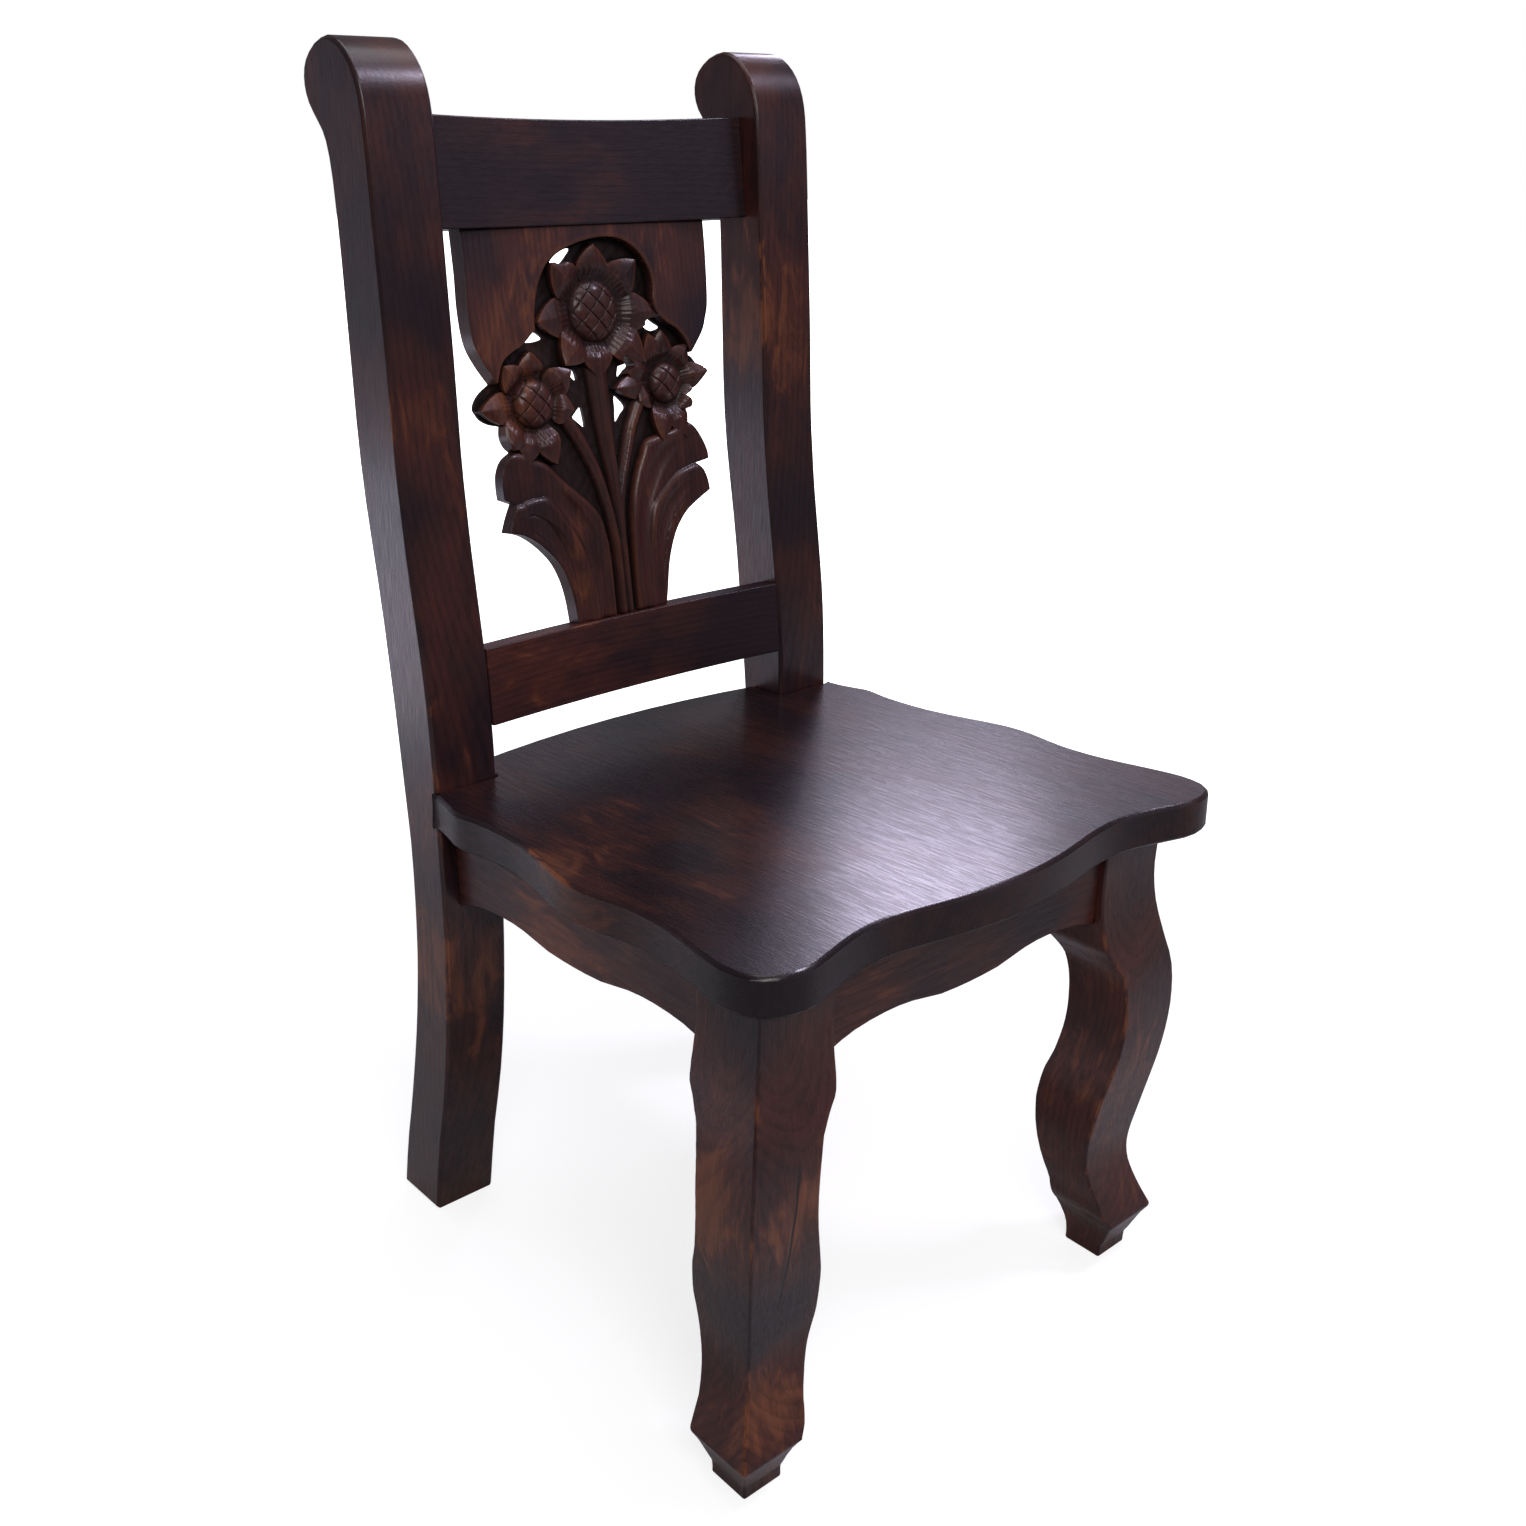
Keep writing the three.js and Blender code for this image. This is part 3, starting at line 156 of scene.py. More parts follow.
# Long hollows that a wide gouge has cut down the leaves: half width, depth, route
SCOOPS = [
    (9.0, 3.0, [(-0.66, 0.285), (-0.56, 0.25), (-0.47, 0.2), (-0.38, 0.13), (-0.33, 0.05), (-0.32, -0.02)]),
    (8.0, 3.0, [(-0.52, 0.365), (-0.42, 0.325), (-0.3, 0.27), (-0.2, 0.205), (-0.15, 0.13), (-0.13, 0.05),
                (-0.13, -0.02)]),
    (8.5, 3.0, [(0.66, 0.44), (0.55, 0.42), (0.45, 0.38), (0.36, 0.33), (0.28, 0.265), (0.235, 0.17),
                (0.21, 0.05), (0.21, -0.02)]),
    (8.0, 2.4, [(0.7, 0.325), (0.56, 0.29), (0.45, 0.24), (0.37, 0.17), (0.33, 0.08), (0.32, -0.02)]),
]

# Fine cuts of a narrow gouge: half width, depth, route
VEINS = [
    (1.1, 0.9, [(-0.75, 0.3), (-0.66, 0.295), (-0.56, 0.27), (-0.47, 0.22), (-0.4, 0.15), (-0.37, 0.06)]),
    (1.1, 0.9, [(-0.72, 0.262), (-0.6, 0.225), (-0.5, 0.165), (-0.43, 0.08), (-0.4, 0.01)]),
    (1.1, 0.8, [(-0.36, 0.255), (-0.3, 0.2), (-0.26, 0.13), (-0.25, 0.04)]),
    (1.1, 0.8, [(-0.3, 0.235), (-0.22, 0.16), (-0.19, 0.08), (-0.18, 0.01)]),
    (1.1, 0.9, [(0.72, 0.345), (0.58, 0.32), (0.47, 0.285), (0.39, 0.23), (0.35, 0.14), (0.34, 0.04)]),
    (1.1, 0.9, [(0.66, 0.28), (0.55, 0.245), (0.45, 0.185), (0.39, 0.1), (0.37, 0.02)]),
    (1.1, 0.8, [(0.4, 0.4), (0.32, 0.35), (0.25, 0.28), (0.2, 0.2), (0.18, 0.1)]),
]
# Heights over the board's face: the ground behind the carving, the least height of what stands over it,
# the foot of a seed head, and where the painted shade and gathered stain of the hollows start. They are full
# after the span.
GROUND_DEPTH = -13.0
LIFTED = GROUND_DEPTH + 2
SEED_HEAD_DEPTH = -11.4
HOLLOW_START = -7.5
HOLLOW_SPAN = 4.5
# How far from its edge a leaf rolls down, and how far the shield's edge is rounded and falls
LEAF_ROLL = 6.5
SHIELD_ROUND = 1.4
SHIELD_FALL = 1.2
# Spacing of the points on the routes while the heights are worked out
ROUTE_STEP = 3
# No petal reaches farther from its flower's centre than this share of half the width
FLOWER_REACH = 0.56
# The cove round a seed head: its reach as a share of the head's radius, and its depth
COVE_REACH = 1.02
COVE_DEPTH = -11.0
# A petal's root and its half width, as shares of the radius of its seed head
PETAL_ROOT = 0.96
PETAL_HALF = 0.63
# Where five fine cuts run from a petal's root, as shares of its half width, and how deep and wide they are
PETAL_CUTS = (-0.66, -0.33, 0.0, 0.33, 0.66)
CUT_DEPTH = 0.6
CUT_WIDTH = 0.055
# A petal along its way from the root beside the seed head to its tip: share of the way, width as a
# share of the full width, and the heights of its ridge and of its edge
PETAL_ROWS = (
    (0.0, 0.12, 0.3, 0.45, 0.66, 0.85, 1.0),
    (0.66, 0.86, 1.0, 0.97, 0.72, 0.37, 0.0),
    (-10.2, -8.6, -3.2, -1.0, -0.7, -1.1, -1.9),
    (-11.0, -10.2, -6.6, -5.2, -4.6, -3.6, -2.0),
)

# Properties of the chair


class StainSettings(bpy.types.PropertyGroup):
    """Colours and gloss of the stained wood."""

    dark: FloatVectorProperty(
        name="Dark stain", description="Colour where the stain lies thick", subtype="COLOR", size=3,
        min=0, max=1, default=(0.0118, 0.0060, 0.0088))
    red: FloatVectorProperty(
        name="Red stain", description="Colour over most of the wood", subtype="COLOR", size=3,
        min=0, max=1, default=(0.0480, 0.0140, 0.0102))
    amber: FloatVectorProperty(
        name="Amber wood", description="Colour where the stain is rubbed through", subtype="COLOR", size=3,
        min=0, max=1, default=(0.135, 0.044, 0.018))
    ring_spacing: FloatProperty(
        name="Ring spacing", description="Distance between the growth rings", unit="LENGTH",
        min=0.001, max=0.02, default=0.0056)
    shine: FloatProperty(
        name="Wood shine", description="Specular level of the stained wood", subtype="FACTOR", min=0, max=1,
        default=0.14)
    coat: FloatProperty(
        name="Lacquer", description="Weight of the lacquer", subtype="FACTOR", min=0, max=1, default=0.25)
    coat_roughness: FloatProperty(
        name="Lacquer roughness", description="Roughness of the lacquer", subtype="FACTOR",
        min=0, max=1, default=0.25)


class CarvingSettings(bpy.types.PropertyGroup):
    """Sizes of the carved relief."""

    spacing: FloatProperty(
        name="Facet spacing", description="Distance between the points of the relief", unit="LENGTH",
        min=0.0008, max=0.01, default=0.00115)
    edge: FloatProperty(
        name="Edge spacing", description="Distance between the points of an outline", unit="LENGTH",
        min=0.0008, max=0.01, default=0.0013)
    softness: FloatProperty(
        name="Softened edge", description="Radius of the board's front edge", unit="LENGTH",
        min=0.0, max=0.005, default=0.0016)
    seed_crown: FloatProperty(
        name="Seed head rise", description="Height of a seed head's dome", unit="LENGTH",
        min=0.002, max=0.03, default=0.0105)
    seed_pitch: FloatProperty(
        name="Seed pitch", description="Distance from seed to seed", unit="LENGTH",
        min=0.004, max=0.03, default=0.0118)
    seed_gap: FloatProperty(
        name="Seed gap", description="Width of the grooves between seeds", unit="LENGTH",
        min=0.0002, max=0.01, default=0.0017)
    seed_depth: FloatProperty(
        name="Seed depth", description="Depth of the grooves between seeds", unit="LENGTH",
        min=0.0001, max=0.01, default=0.0012)
    seed_rise: FloatProperty(
        name="Seed bulge", description="How far the middle of a seed stands out", unit="LENGTH",
        min=0.0, max=0.01, default=0.0006)


class ArrisSettings(bpy.types.PropertyGroup):
    """How far the edges of the timbers are eased."""

    post: FloatProperty(
        name="Posts", description="Ease on the posts' edges", unit="LENGTH", min=0, max=0.01, default=0.0009)
    leg: FloatProperty(
        name="Legs", description="Ease on the front legs' edges", unit="LENGTH", min=0, max=0.01,
        default=0.0022)
    rail: FloatProperty(
        name="Rails", description="Ease on the rails' edges", unit="LENGTH", min=0, max=0.01, default=0.0014)
    seat: FloatProperty(
        name="Seat", description="Ease on the seat's rim", unit="LENGTH", min=0, max=0.01, default=0.0024)
    segments: IntProperty(
        name="Segments", description="Facets across an eased edge", min=1, max=8, default=3)


class StageSettings(bpy.types.PropertyGroup):
    """Camera and lights."""

    place: FloatVectorProperty(
        name="Camera place", description="Where the camera stands", subtype="TRANSLATION", size=3,
        default=(-0.87691, -0.93613, 0.97353))
    azimuth: FloatProperty(
        name="Azimuth", description="Bearing of the camera from the chair's front", subtype="ANGLE",
        default=math.radians(-40.79))
    elevation: FloatProperty(
        name="Elevation", description="How far the camera looks down", subtype="ANGLE",
        default=math.radians(21.71))
    roll: FloatProperty(
        name="Roll", description="Turn of the camera about its own axis", subtype="ANGLE",
        default=math.radians(0.79))
    lens: FloatProperty(
        name="Lens", description="Focal length in millimetres on a 36 mm sensor", min=10, max=200,
        default=38.148)
    shift_x: FloatProperty(name="Shift across", description="Camera shift in frame widths", default=0.0442)
    shift_y: FloatProperty(name="Shift up", description="Camera shift in frame widths", default=-0.0047)
    window: FloatProperty(
        name="Window power", description="Power of the bright window that shines on the seat", unit="POWER",
        min=0, max=1000, default=15.4)
    glow: FloatProperty(
        name="Glow power", description="Power of the dim light under the window", unit="POWER",
        min=0, max=1000, default=1.8)
    skylight: FloatProperty(
        name="Skylight power", description="Power of the high light that shines on the scrolls", unit="POWER",
        min=0, max=1000, default=44.0)
    side: FloatProperty(
        name="Side power", description="Power of the low soft light on the chair's right hand", unit="POWER",
        min=0, max=1000, default=4.4)
    front: FloatProperty(
        name="Front power", description="Power of the dim light on the chair's left hand", unit="POWER",
        min=0, max=1000, default=2.5)
    backdrop: FloatProperty(
        name="Backdrop power", description="Power of the low wide light far behind the chair", unit="POWER",
        min=0, max=1000, default=5.0)
    fill: FloatProperty(
        name="Fill power", description="Power of the high soft light before the chair", unit="POWER",
        min=0, max=1000, default=60)
    overhead: FloatProperty(
        name="Overhead power", description="Power of the soft light over the chair", unit="POWER",
        min=0, max=1000, default=32)
    room: FloatProperty(
        name="Room light", description="Strength of the light from all sides", min=0, max=2, default=0.1)


class ChairSettings(bpy.types.PropertyGroup):
    """Everything about the chair that a user would change."""

    stain: PointerProperty(type=StainSettings)
    carving: PointerProperty(type=CarvingSettings)
    arris: PointerProperty(type=ArrisSettings)
    stage: PointerProperty(type=StageSettings)


# Shader graphs


class Signal:
    """An output socket whose values can be added, multiplied and compared."""

    def __init__(self, graph, socket):
        self.graph = graph
        self.socket = socket

    def _math(self, operation, *values):
        return self.graph.node("ShaderNodeMath", {"operation": operation}, dict(enumerate(values)))

    def __add__(self, other):
        return self._math("ADD", self, other)

    __radd__ = __add__

    def __sub__(self, other):
        return self._math("SUBTRACT", self, other)

    def __rsub__(self, other):
        return self._math("SUBTRACT", other, self)

    def __mul__(self, other):
        return self._math("MULTIPLY", self, other)

    __rmul__ = __mul__

    def __truediv__(self, other):
        return self._math("DIVIDE", self, other)

    def __pow__(self, other):
        return self._math("POWER", self, other)

    def within(self, low, high, soft=True):
        """This value's way from low to high, as a share from 0 to 1."""
        return self.graph.node(
            "ShaderNodeMapRange", {"interpolation_type": "SMOOTHSTEP" if soft else "LINEAR"},
            {"Value": self, "From Min": low, "From Max": high})

    def at_least(self, other):
        return self._math("MAXIMUM", self, other)

    def ping_pong(self, reach):
        return self._math("PINGPONG", self, reach)

    def sine(self):
        return self._math("SINE", self)

    def root(self):
        return self._math("SQRT", self)

    def size(self):
        return self._math("ABSOLUTE", self)

    def fraction(self):
        return self._math("FRACT", self)


class Graph:
    """The node tree of a material or of the world, or a node group."""

    def __init__(self, owner):
        self.owner = owner
        if isinstance(owner, bpy.types.NodeTree):
            self.tree = owner
        else:
            owner.use_nodes = True
            self.tree = owner.node_tree
            self.tree.nodes.clear()

    def node(self, kind, settings=None, values=None, output=0):
        """Adds a node, sets it up, feeds its sockets and returns one of its outputs."""
        made = self.tree.nodes.new(kind)
        for key, value in (settings or {}).items():
            setattr(made, key, value)
        for key, value in (values or {}).items():
            if isinstance(value, Signal):
                self.tree.links.new(value.socket, made.inputs[key])
            else:
                made.inputs[key].default_value = value
        return Signal(self, made.outputs[output]) if made.outputs else None

    def mix(self, share, first, second):
        """A colour on the way from first to second."""
        return self.node(
            "ShaderNodeMix", {"data_type": "RGBA"}, {0: share, 6: first, 7: second}, output=2)

    def parts(self, vector):
        """The three numbers of a vector."""
        split = self.tree.nodes.new("ShaderNodeSeparateXYZ")
        self.tree.links.new(vector.socket, split.inputs[0])
        return [Signal(self, output) for output in split.outputs]

    def vector(self, x, y, z):
        return self.node("ShaderNodeCombineXYZ", None, {0: x, 1: y, 2: z})

    def noise(self, place, scale, detail, roughness, distortion=0.0):
        return self.node(
            "ShaderNodeTexNoise", None,
            {"Vector": place, "Scale": scale, "Detail": detail, "Roughness": roughness,
             "Distortion": distortion})

    def place(self):
        """Where a point lies on the object."""
        return self.node("ShaderNodeTexCoord", output="Object")

    def attribute(self, name):
        return self.node("ShaderNodeAttribute", {"attribute_name": name}, output="Fac")

    def finish(self, shader):
        kind = "World" if isinstance(self.owner, bpy.types.World) else "Material"
        self.node(f"ShaderNodeOutput{kind}", None, {"Surface": shader})
        return self.owner


def rgba(colour):
    return (*colour, 1.0)


# How each timber looks. Long is the axis that the fibres follow, and slope is how far they lean across it.
# Heart is a point of the tree's middle in the two other axes, in metres, and run is how fast that middle
# runs out of the timber, which draws the arches on its faces. A paired timber is sawn alike for both
# hands. Warm moves it towards amber and tone lightens or darkens all of it: the timber's own tone, and
# on the seat painted shade against the stronger light on its top. Sheen smooths and thickens its lacquer
# and fills the streaks, and below zero the wood is left dull. Grit roughens it. Each patch is a place, a
# radius and how far it is rubbed towards amber, or below zero stained towards black.
TIMBERS = {
    "post": {
        "long": "Z", "slope": (0, 0), "heart": (0.12, 0.30), "run": (0.02, 0.05), "paired": True,
        "warm": -0.12, "tone_and_shade": 0.95, "sheen": 0.08, "grit": 0.2, "patches": (
            ((-0.198, 0.215, 0.83), 0.05, -0.6), ((-0.215, 0.22, 0.9), 0.035, -0.4),
            ((-0.2, 0.17, 0.72), 0.06, 0.3), ((-0.228, 0.2, 0.66), 0.05, -0.4),
            ((0.198, 0.17, 0.62), 0.05, -0.6), ((0.17, 0.2, 0.8), 0.07, 0.7),
            ((-0.22, 0.16, 0.26), 0.08, 0.7), ((-0.229, 0.16, 0.42), 0.05, 0.4))},
    "rail": {
        "long": "X", "slope": (0, 0), "heart": (0.2, 0.62), "run": (0.01, 0.02), "paired": False,
        "warm": -0.45, "tone_and_shade": 0.9, "sheen": 0.06, "grit": 0.5, "patches": (
            ((-0.15, 0.235, 0.92), 0.07, -0.4), ((0.1, 0.235, 0.95), 0.06, -0.4),
            ((0.0, 0.235, 0.9), 0.05, 0.2))},
    "lower_rail": {
        "long": "X", "slope": (0, 0), "heart": (0.20, 0.32), "run": (0.0, 0.02), "paired": False,
        "warm": -0.08, "tone_and_shade": 1.1, "sheen": 0.0, "grit": 0.2, "patches": (
            ((0.13, 0.17, 0.51), 0.08, -0.8), ((-0.09, 0.17, 0.52), 0.06, 0.3))},
    "splat": {
        "long": "Z", "slope": (0, -0.1676), "heart": (0.02, 0.11), "run": (0.02, 0.05), "paired": False,
        "warm": -0.04, "tone_and_shade": 0.95, "sheen": 0.05, "grit": 0.15, "patches": (
            ((-0.092, 0.2, 0.79), 0.05, 0.6), ((-0.1, 0.2, 0.74), 0.03, 0.5),
            ((-0.06, 0.21, 0.86), 0.035, 0.4), ((0.05, 0.22, 0.88), 0.04, 0.3),
            ((-0.125, 0.21, 0.87), 0.035, -0.6), ((0.09, 0.2, 0.86), 0.03, 0.35),
            ((0.105, 0.2, 0.8), 0.035, -0.5),
            ((-0.055, 0.17, 0.6), 0.035, 0.35), ((0.02, 0.18, 0.72), 0.035, 0.3))},
    # The seat's low tone is painted shade: it darkens the top against the stronger light that falls on it.
    "seat": {
        "long": "Y", "slope": (0, 0.0437), "heart": (-0.05, 0.36), "run": (0.12, 0.16), "paired": False,
        "warm": -0.3, "tone_and_shade": 0.6, "sheen": 0.16, "grit": 0.9, "patches": (
            ((-0.19, -0.03, 0.45), 0.07, 0.5), ((-0.2, -0.15, 0.45), 0.05, 0.5),
            ((-0.12, -0.14, 0.45), 0.06, 0.4), ((-0.08, 0.05, 0.45), 0.07, -0.4),
            ((-0.14, 0.02, 0.45), 0.03, 0.6), ((-0.16, -0.09, 0.45), 0.03, -0.6),
            ((-0.09, -0.07, 0.45), 0.03, 0.5), ((-0.05, -0.2, 0.45), 0.04, 0.4),
            ((-0.22, -0.29, 0.43), 0.08, -0.9), ((-0.25, -0.06, 0.43), 0.06, 0.7))},
    "leg": {
        "long": "Z", "slope": (0, 0), "heart": (0.17, -0.18), "run": (-0.1, 0.13), "paired": True,
        "warm": 0.1, "tone_and_shade": 1.05, "sheen": 0.03, "grit": 0.2, "patches": (
            ((-0.202, -0.272, 0.25), 0.045, 0.7), ((-0.205, -0.265, 0.075), 0.045, 0.6),
            ((-0.252, -0.225, 0.245), 0.05, 0.9), ((-0.25, -0.27, 0.16), 0.045, -0.7),
            ((-0.2, -0.27, 0.155), 0.035, -0.6), ((-0.25, -0.24, 0.39), 0.045, -0.7),
            ((-0.19, -0.26, 0.34), 0.04, -0.2), ((0.2, -0.27, 0.2), 0.05, 0.35),
            ((0.19, -0.24, 0.11), 0.04, 0.3), ((0.2, -0.27, 0.37), 0.05, -0.4))},
    "side_apron": {
        "long": "Y", "slope": (0, 0), "heart": (0.10, 0.30), "run": (0.03, 0.0), "paired": True,
        "warm": 0.0, "tone_and_shade": 1.35, "sheen": 0.03, "grit": 0.2, "patches": (
            ((-0.21, 0.1, 0.4), 0.04, -0.5), ((-0.21, 0.02, 0.36), 0.06, 0.9))},
    "front_apron": {
        "long": "X", "slope": (0, 0), "heart": (-0.30, 0.33), "run": (0.0, 0.03), "paired": False,
        "warm": 0.0, "tone_and_shade": 1.05, "sheen": 0.0, "grit": 0.2, "patches": (
            ((-0.1, -0.26, 0.38), 0.05, 0.35), ((0.08, -0.26, 0.39), 0.05, -0.5))},
    "block": {
        "long": "X", "slope": (0, 0), "heart": (0.0, 0.30), "run": (0.0, 0.0), "paired": False,
        "warm": 0.2, "tone_and_shade": 1.0, "sheen": -0.2, "grit": 0.6, "patches": ()},
}


# Noises of the wood: how many times each is drawn out along the grain, then its scale, detail, roughness
# and distortion. Bend, wander and drift move the growth rings.
NOISES = {
    "bend": (3.0, 10.0, 2.0),
    "wander": (2.0, 4.0, 1.0),
    "drift": (4.0, 30.0, 1.0),
    "fibres": (26.0, 1000.0, 2.0, 0.6),
    "streaks": (30.0, 260.0, 3.0, 0.6),
    "bands": (9.0, 60.0, 3.0),
    "clouds": (1.6, 12.0, 4.0, 0.55, 0.5),
    "mottle": (2.6, 48.0, 4.0, 0.6, 0.9),
    "grain": (2.4, 1050.0, 1.0, 0.6),
}
# Dark of the carving's grooves and hollows, partly stain gathered there and partly painted shade, and the
# dark inside of a crack
HOLLOW_STAIN_AND_SHADE = (0.0042, 0.0022, 0.0022, 1.0)
CRACK_DARK = (0.003, 0.0018, 0.0018, 1.0)
# Heights between which the seat's lacquer turns from the dull rim to the polished top, without its lean
SEAT_POLISH = (0.4435, 0.4475)


def drying_crack(x, y, z, wander):
    """A crack down the front face of the leg on the sitter's right, from 0 beside it to 1 inside."""
    line = (x + 0.203 + (0.29 - z) * 0.096 + (wander - 0.5) * 0.012).size()
    front = (0.0 - y).within(0.2, 0.21)
    return (1.0 - line.within(0.0009, 0.0023)) * front * z.within(0.16, 0.19) * (
        1.0 - z.within(0.275, 0.295))


def stained_wood(name, timber):
    """Solid stained wood: growth rings, fibres, pores, patches of stain and rubbed arrises, with painted
    highlight and painted shade on the carving.
    """
    stain = bpy.context.scene.chair.stain
    facts = TIMBERS[timber]
    graph = Graph(bpy.data.materials.new(name))
    place = graph.place()
    x, y, z = graph.parts(place)
    hand = x.size() if facts["paired"] else x
    first, second, length = {"X": (y, z, x), "Y": (hand, z, y), "Z": (hand, y, z)}[facts["long"]]
    first = first + length * facts["slope"][0]
    second = second + length * facts["slope"][1]

    def stretched(times, scale, detail, roughness=0.55, distortion=0.0):
        """Noise that is drawn out along the grain."""
        return graph.noise(
            graph.vector(first, second, length / times), scale, detail, roughness, distortion)

    bend, wander, drift, fibres, streaks, bands, clouds, mottle, grain = (
        stretched(*noise) for noise in NOISES.values())
    across = first - facts["heart"][0] + length * facts["run"][0]
    depth = second - facts["heart"][1] + length * facts["run"][1]
    radius = (across * across + depth * depth).root() + (bend * 0.009 + wander * 0.014)
    turn = (radius / stain.ring_spacing + drift * 0.5).fraction()
    late = turn.within(0.35, 0.9) * (1.0 - turn.within(0.9, 1.0))

    rubbed = (mottle - 0.5) * 2.0 + (bands - 0.5) * 0.9 + (clouds - 0.5) * 0.8 + facts["warm"]
    stained = (clouds - 0.5) * 2.4 + (mottle - 0.5) * 1.3 + (bands - 0.5) * 0.7 + facts["warm"]
    for centre, size, share in facts["patches"]:
        away = graph.node(
            "ShaderNodeVectorMath", {"operation": "DISTANCE"}, {0: place, 1: centre}, output=1)
        inside = (1.0 - away / size + (mottle - 0.5) * 1.5).within(-0.3, 0.9)
        if share > 0:
            rubbed = rubbed + inside * (share * 0.9)
            stained = stained + inside * share
        else:
            stained = stained + inside * (share * 1.5)
            rubbed = rubbed + inside * (share * 0.8)
    colour = graph.mix(stained.within(-0.8, 0.55), rgba(stain.dark), rgba(stain.red))
    colour = graph.mix(rubbed.within(0.15, 1.0) * 0.75, colour, rgba(stain.amber))
    shade = 1.16 - late * 0.24 - (1.0 - streaks.within(0.3, 0.62)) * 0.2 - (0.55 - fibres) * 0.3
    colour = graph.node(
        "ShaderNodeVectorMath", {"operation": "SCALE"}, {0: colour, 3: shade * facts["tone_and_shade"]})
    arris, relief, hollow = (graph.attribute(mark) for mark in ("arris", "relief", "hollow"))
    colour = graph.mix(arris * 0.3, colour, rgba(stain.dark))
    colour = graph.mix(arris * rubbed.within(0.1, 0.55) * streaks.within(0.3, 0.5), colour, rgba(stain.amber))
    # Painted highlight: the crests of the carving turn towards amber.
    colour = graph.mix(relief.within(0.05, 1.0, False) * 0.25, colour, rgba(stain.amber))
    # Painted shade, with some gathered stain: the carving's grooves and its deep hollows turn dark.
    cut = (0.0 - relief).within(0.0, 0.9, False)
    colour = graph.mix(cut * 0.9, colour, HOLLOW_STAIN_AND_SHADE)
    colour = graph.mix(hollow * 0.8, colour, HOLLOW_STAIN_AND_SHADE)

    pores = fibres.within(0.4, 0.6)
    bare = 1.0 - 5.0 * facts["sheen"]
    height = pores * 0.25 + (streaks * 0.3 + (1.0 - late) * 0.2) * bare + grain * facts["grit"]
    if timber == "leg":
        crack = drying_crack(x, y, z, bands)
        colour = graph.mix(crack * 0.9, colour, CRACK_DARK)
        height = height - crack * 2.0
    bump = graph.node(
        "ShaderNodeBump", None, {"Height": height, "Strength": 0.3, "Distance": 0.0006})
    sheen = second.within(*SEAT_POLISH) * facts["sheen"] if timber == "seat" else facts["sheen"]
    coat = stain.coat if facts["sheen"] < 0 else sheen * 4.0 + stain.coat
    rough = 0.40 - sheen + (1.0 - pores) * 0.08 + (clouds - 0.5) * 0.16 + cut * 0.2 + hollow * 0.2
    shader = graph.node(
        "ShaderNodeBsdfPrincipled", None,
        {"Base Color": colour, "Roughness": rough, "Normal": bump, "Specular IOR Level": stain.shine,
         "Coat Weight": (1.0 - cut) * (1.0 - hollow * 0.6) * (pores * 0.4 + 0.6) * coat,
         "Coat Roughness": stain.coat_roughness - 0.3 * facts["sheen"], "Coat IOR": 1.42})
    return graph.finish(shader)


def zinc_steel():
    """Plain bright screws with a little tarnish."""
    graph = Graph(bpy.data.materials.new("zinc_steel"))
    tarnish = graph.noise(graph.place(), 420.0, 4.0, 0.6).within(0.35, 0.7)
    colour = graph.mix(tarnish, (0.52, 0.5, 0.42, 1), (0.3, 0.27, 0.2, 1))
    bump = graph.node("ShaderNodeBump", None, {"Height": tarnish, "Strength": 0.15, "Distance": 0.0002})
    shader = graph.node(
        "ShaderNodeBsdfPrincipled", None,
        {"Base Color": colour, "Metallic": 0.9, "Roughness": 0.3 + tarnish * 0.25, "Normal": bump})
    return graph.finish(shader)


def wood(timber):
    """The material of a timber, made once."""
    name = f"stained_{timber}"
    return bpy.data.materials.get(name) or stained_wood(name, timber)


# Meshes


def new_object(name, mesh, material):
    mesh.materials.clear()
    mesh.materials.append(material)
    made = bpy.data.objects.new(name, mesh)
    bpy.context.scene.collection.objects.link(made)
    return made


def shade(mesh, degrees):
    mesh.polygons.foreach_set("use_smooth", [True] * len(mesh.polygons))
    mesh.set_sharp_from_angle(angle=math.radians(degrees))


def seat_on_frame(made, node):
    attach(made, "root")
    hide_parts(node)


# CAD points closer than this are one point, faces that turn less are one face, and arrises that turn
# more are eased. The last is how far the larger faces draw the normals.
WELD = 0.01 * MM
FLAT = math.radians(0.4)
ARRIS = math.radians(28)
FACE_WEIGHT = 70


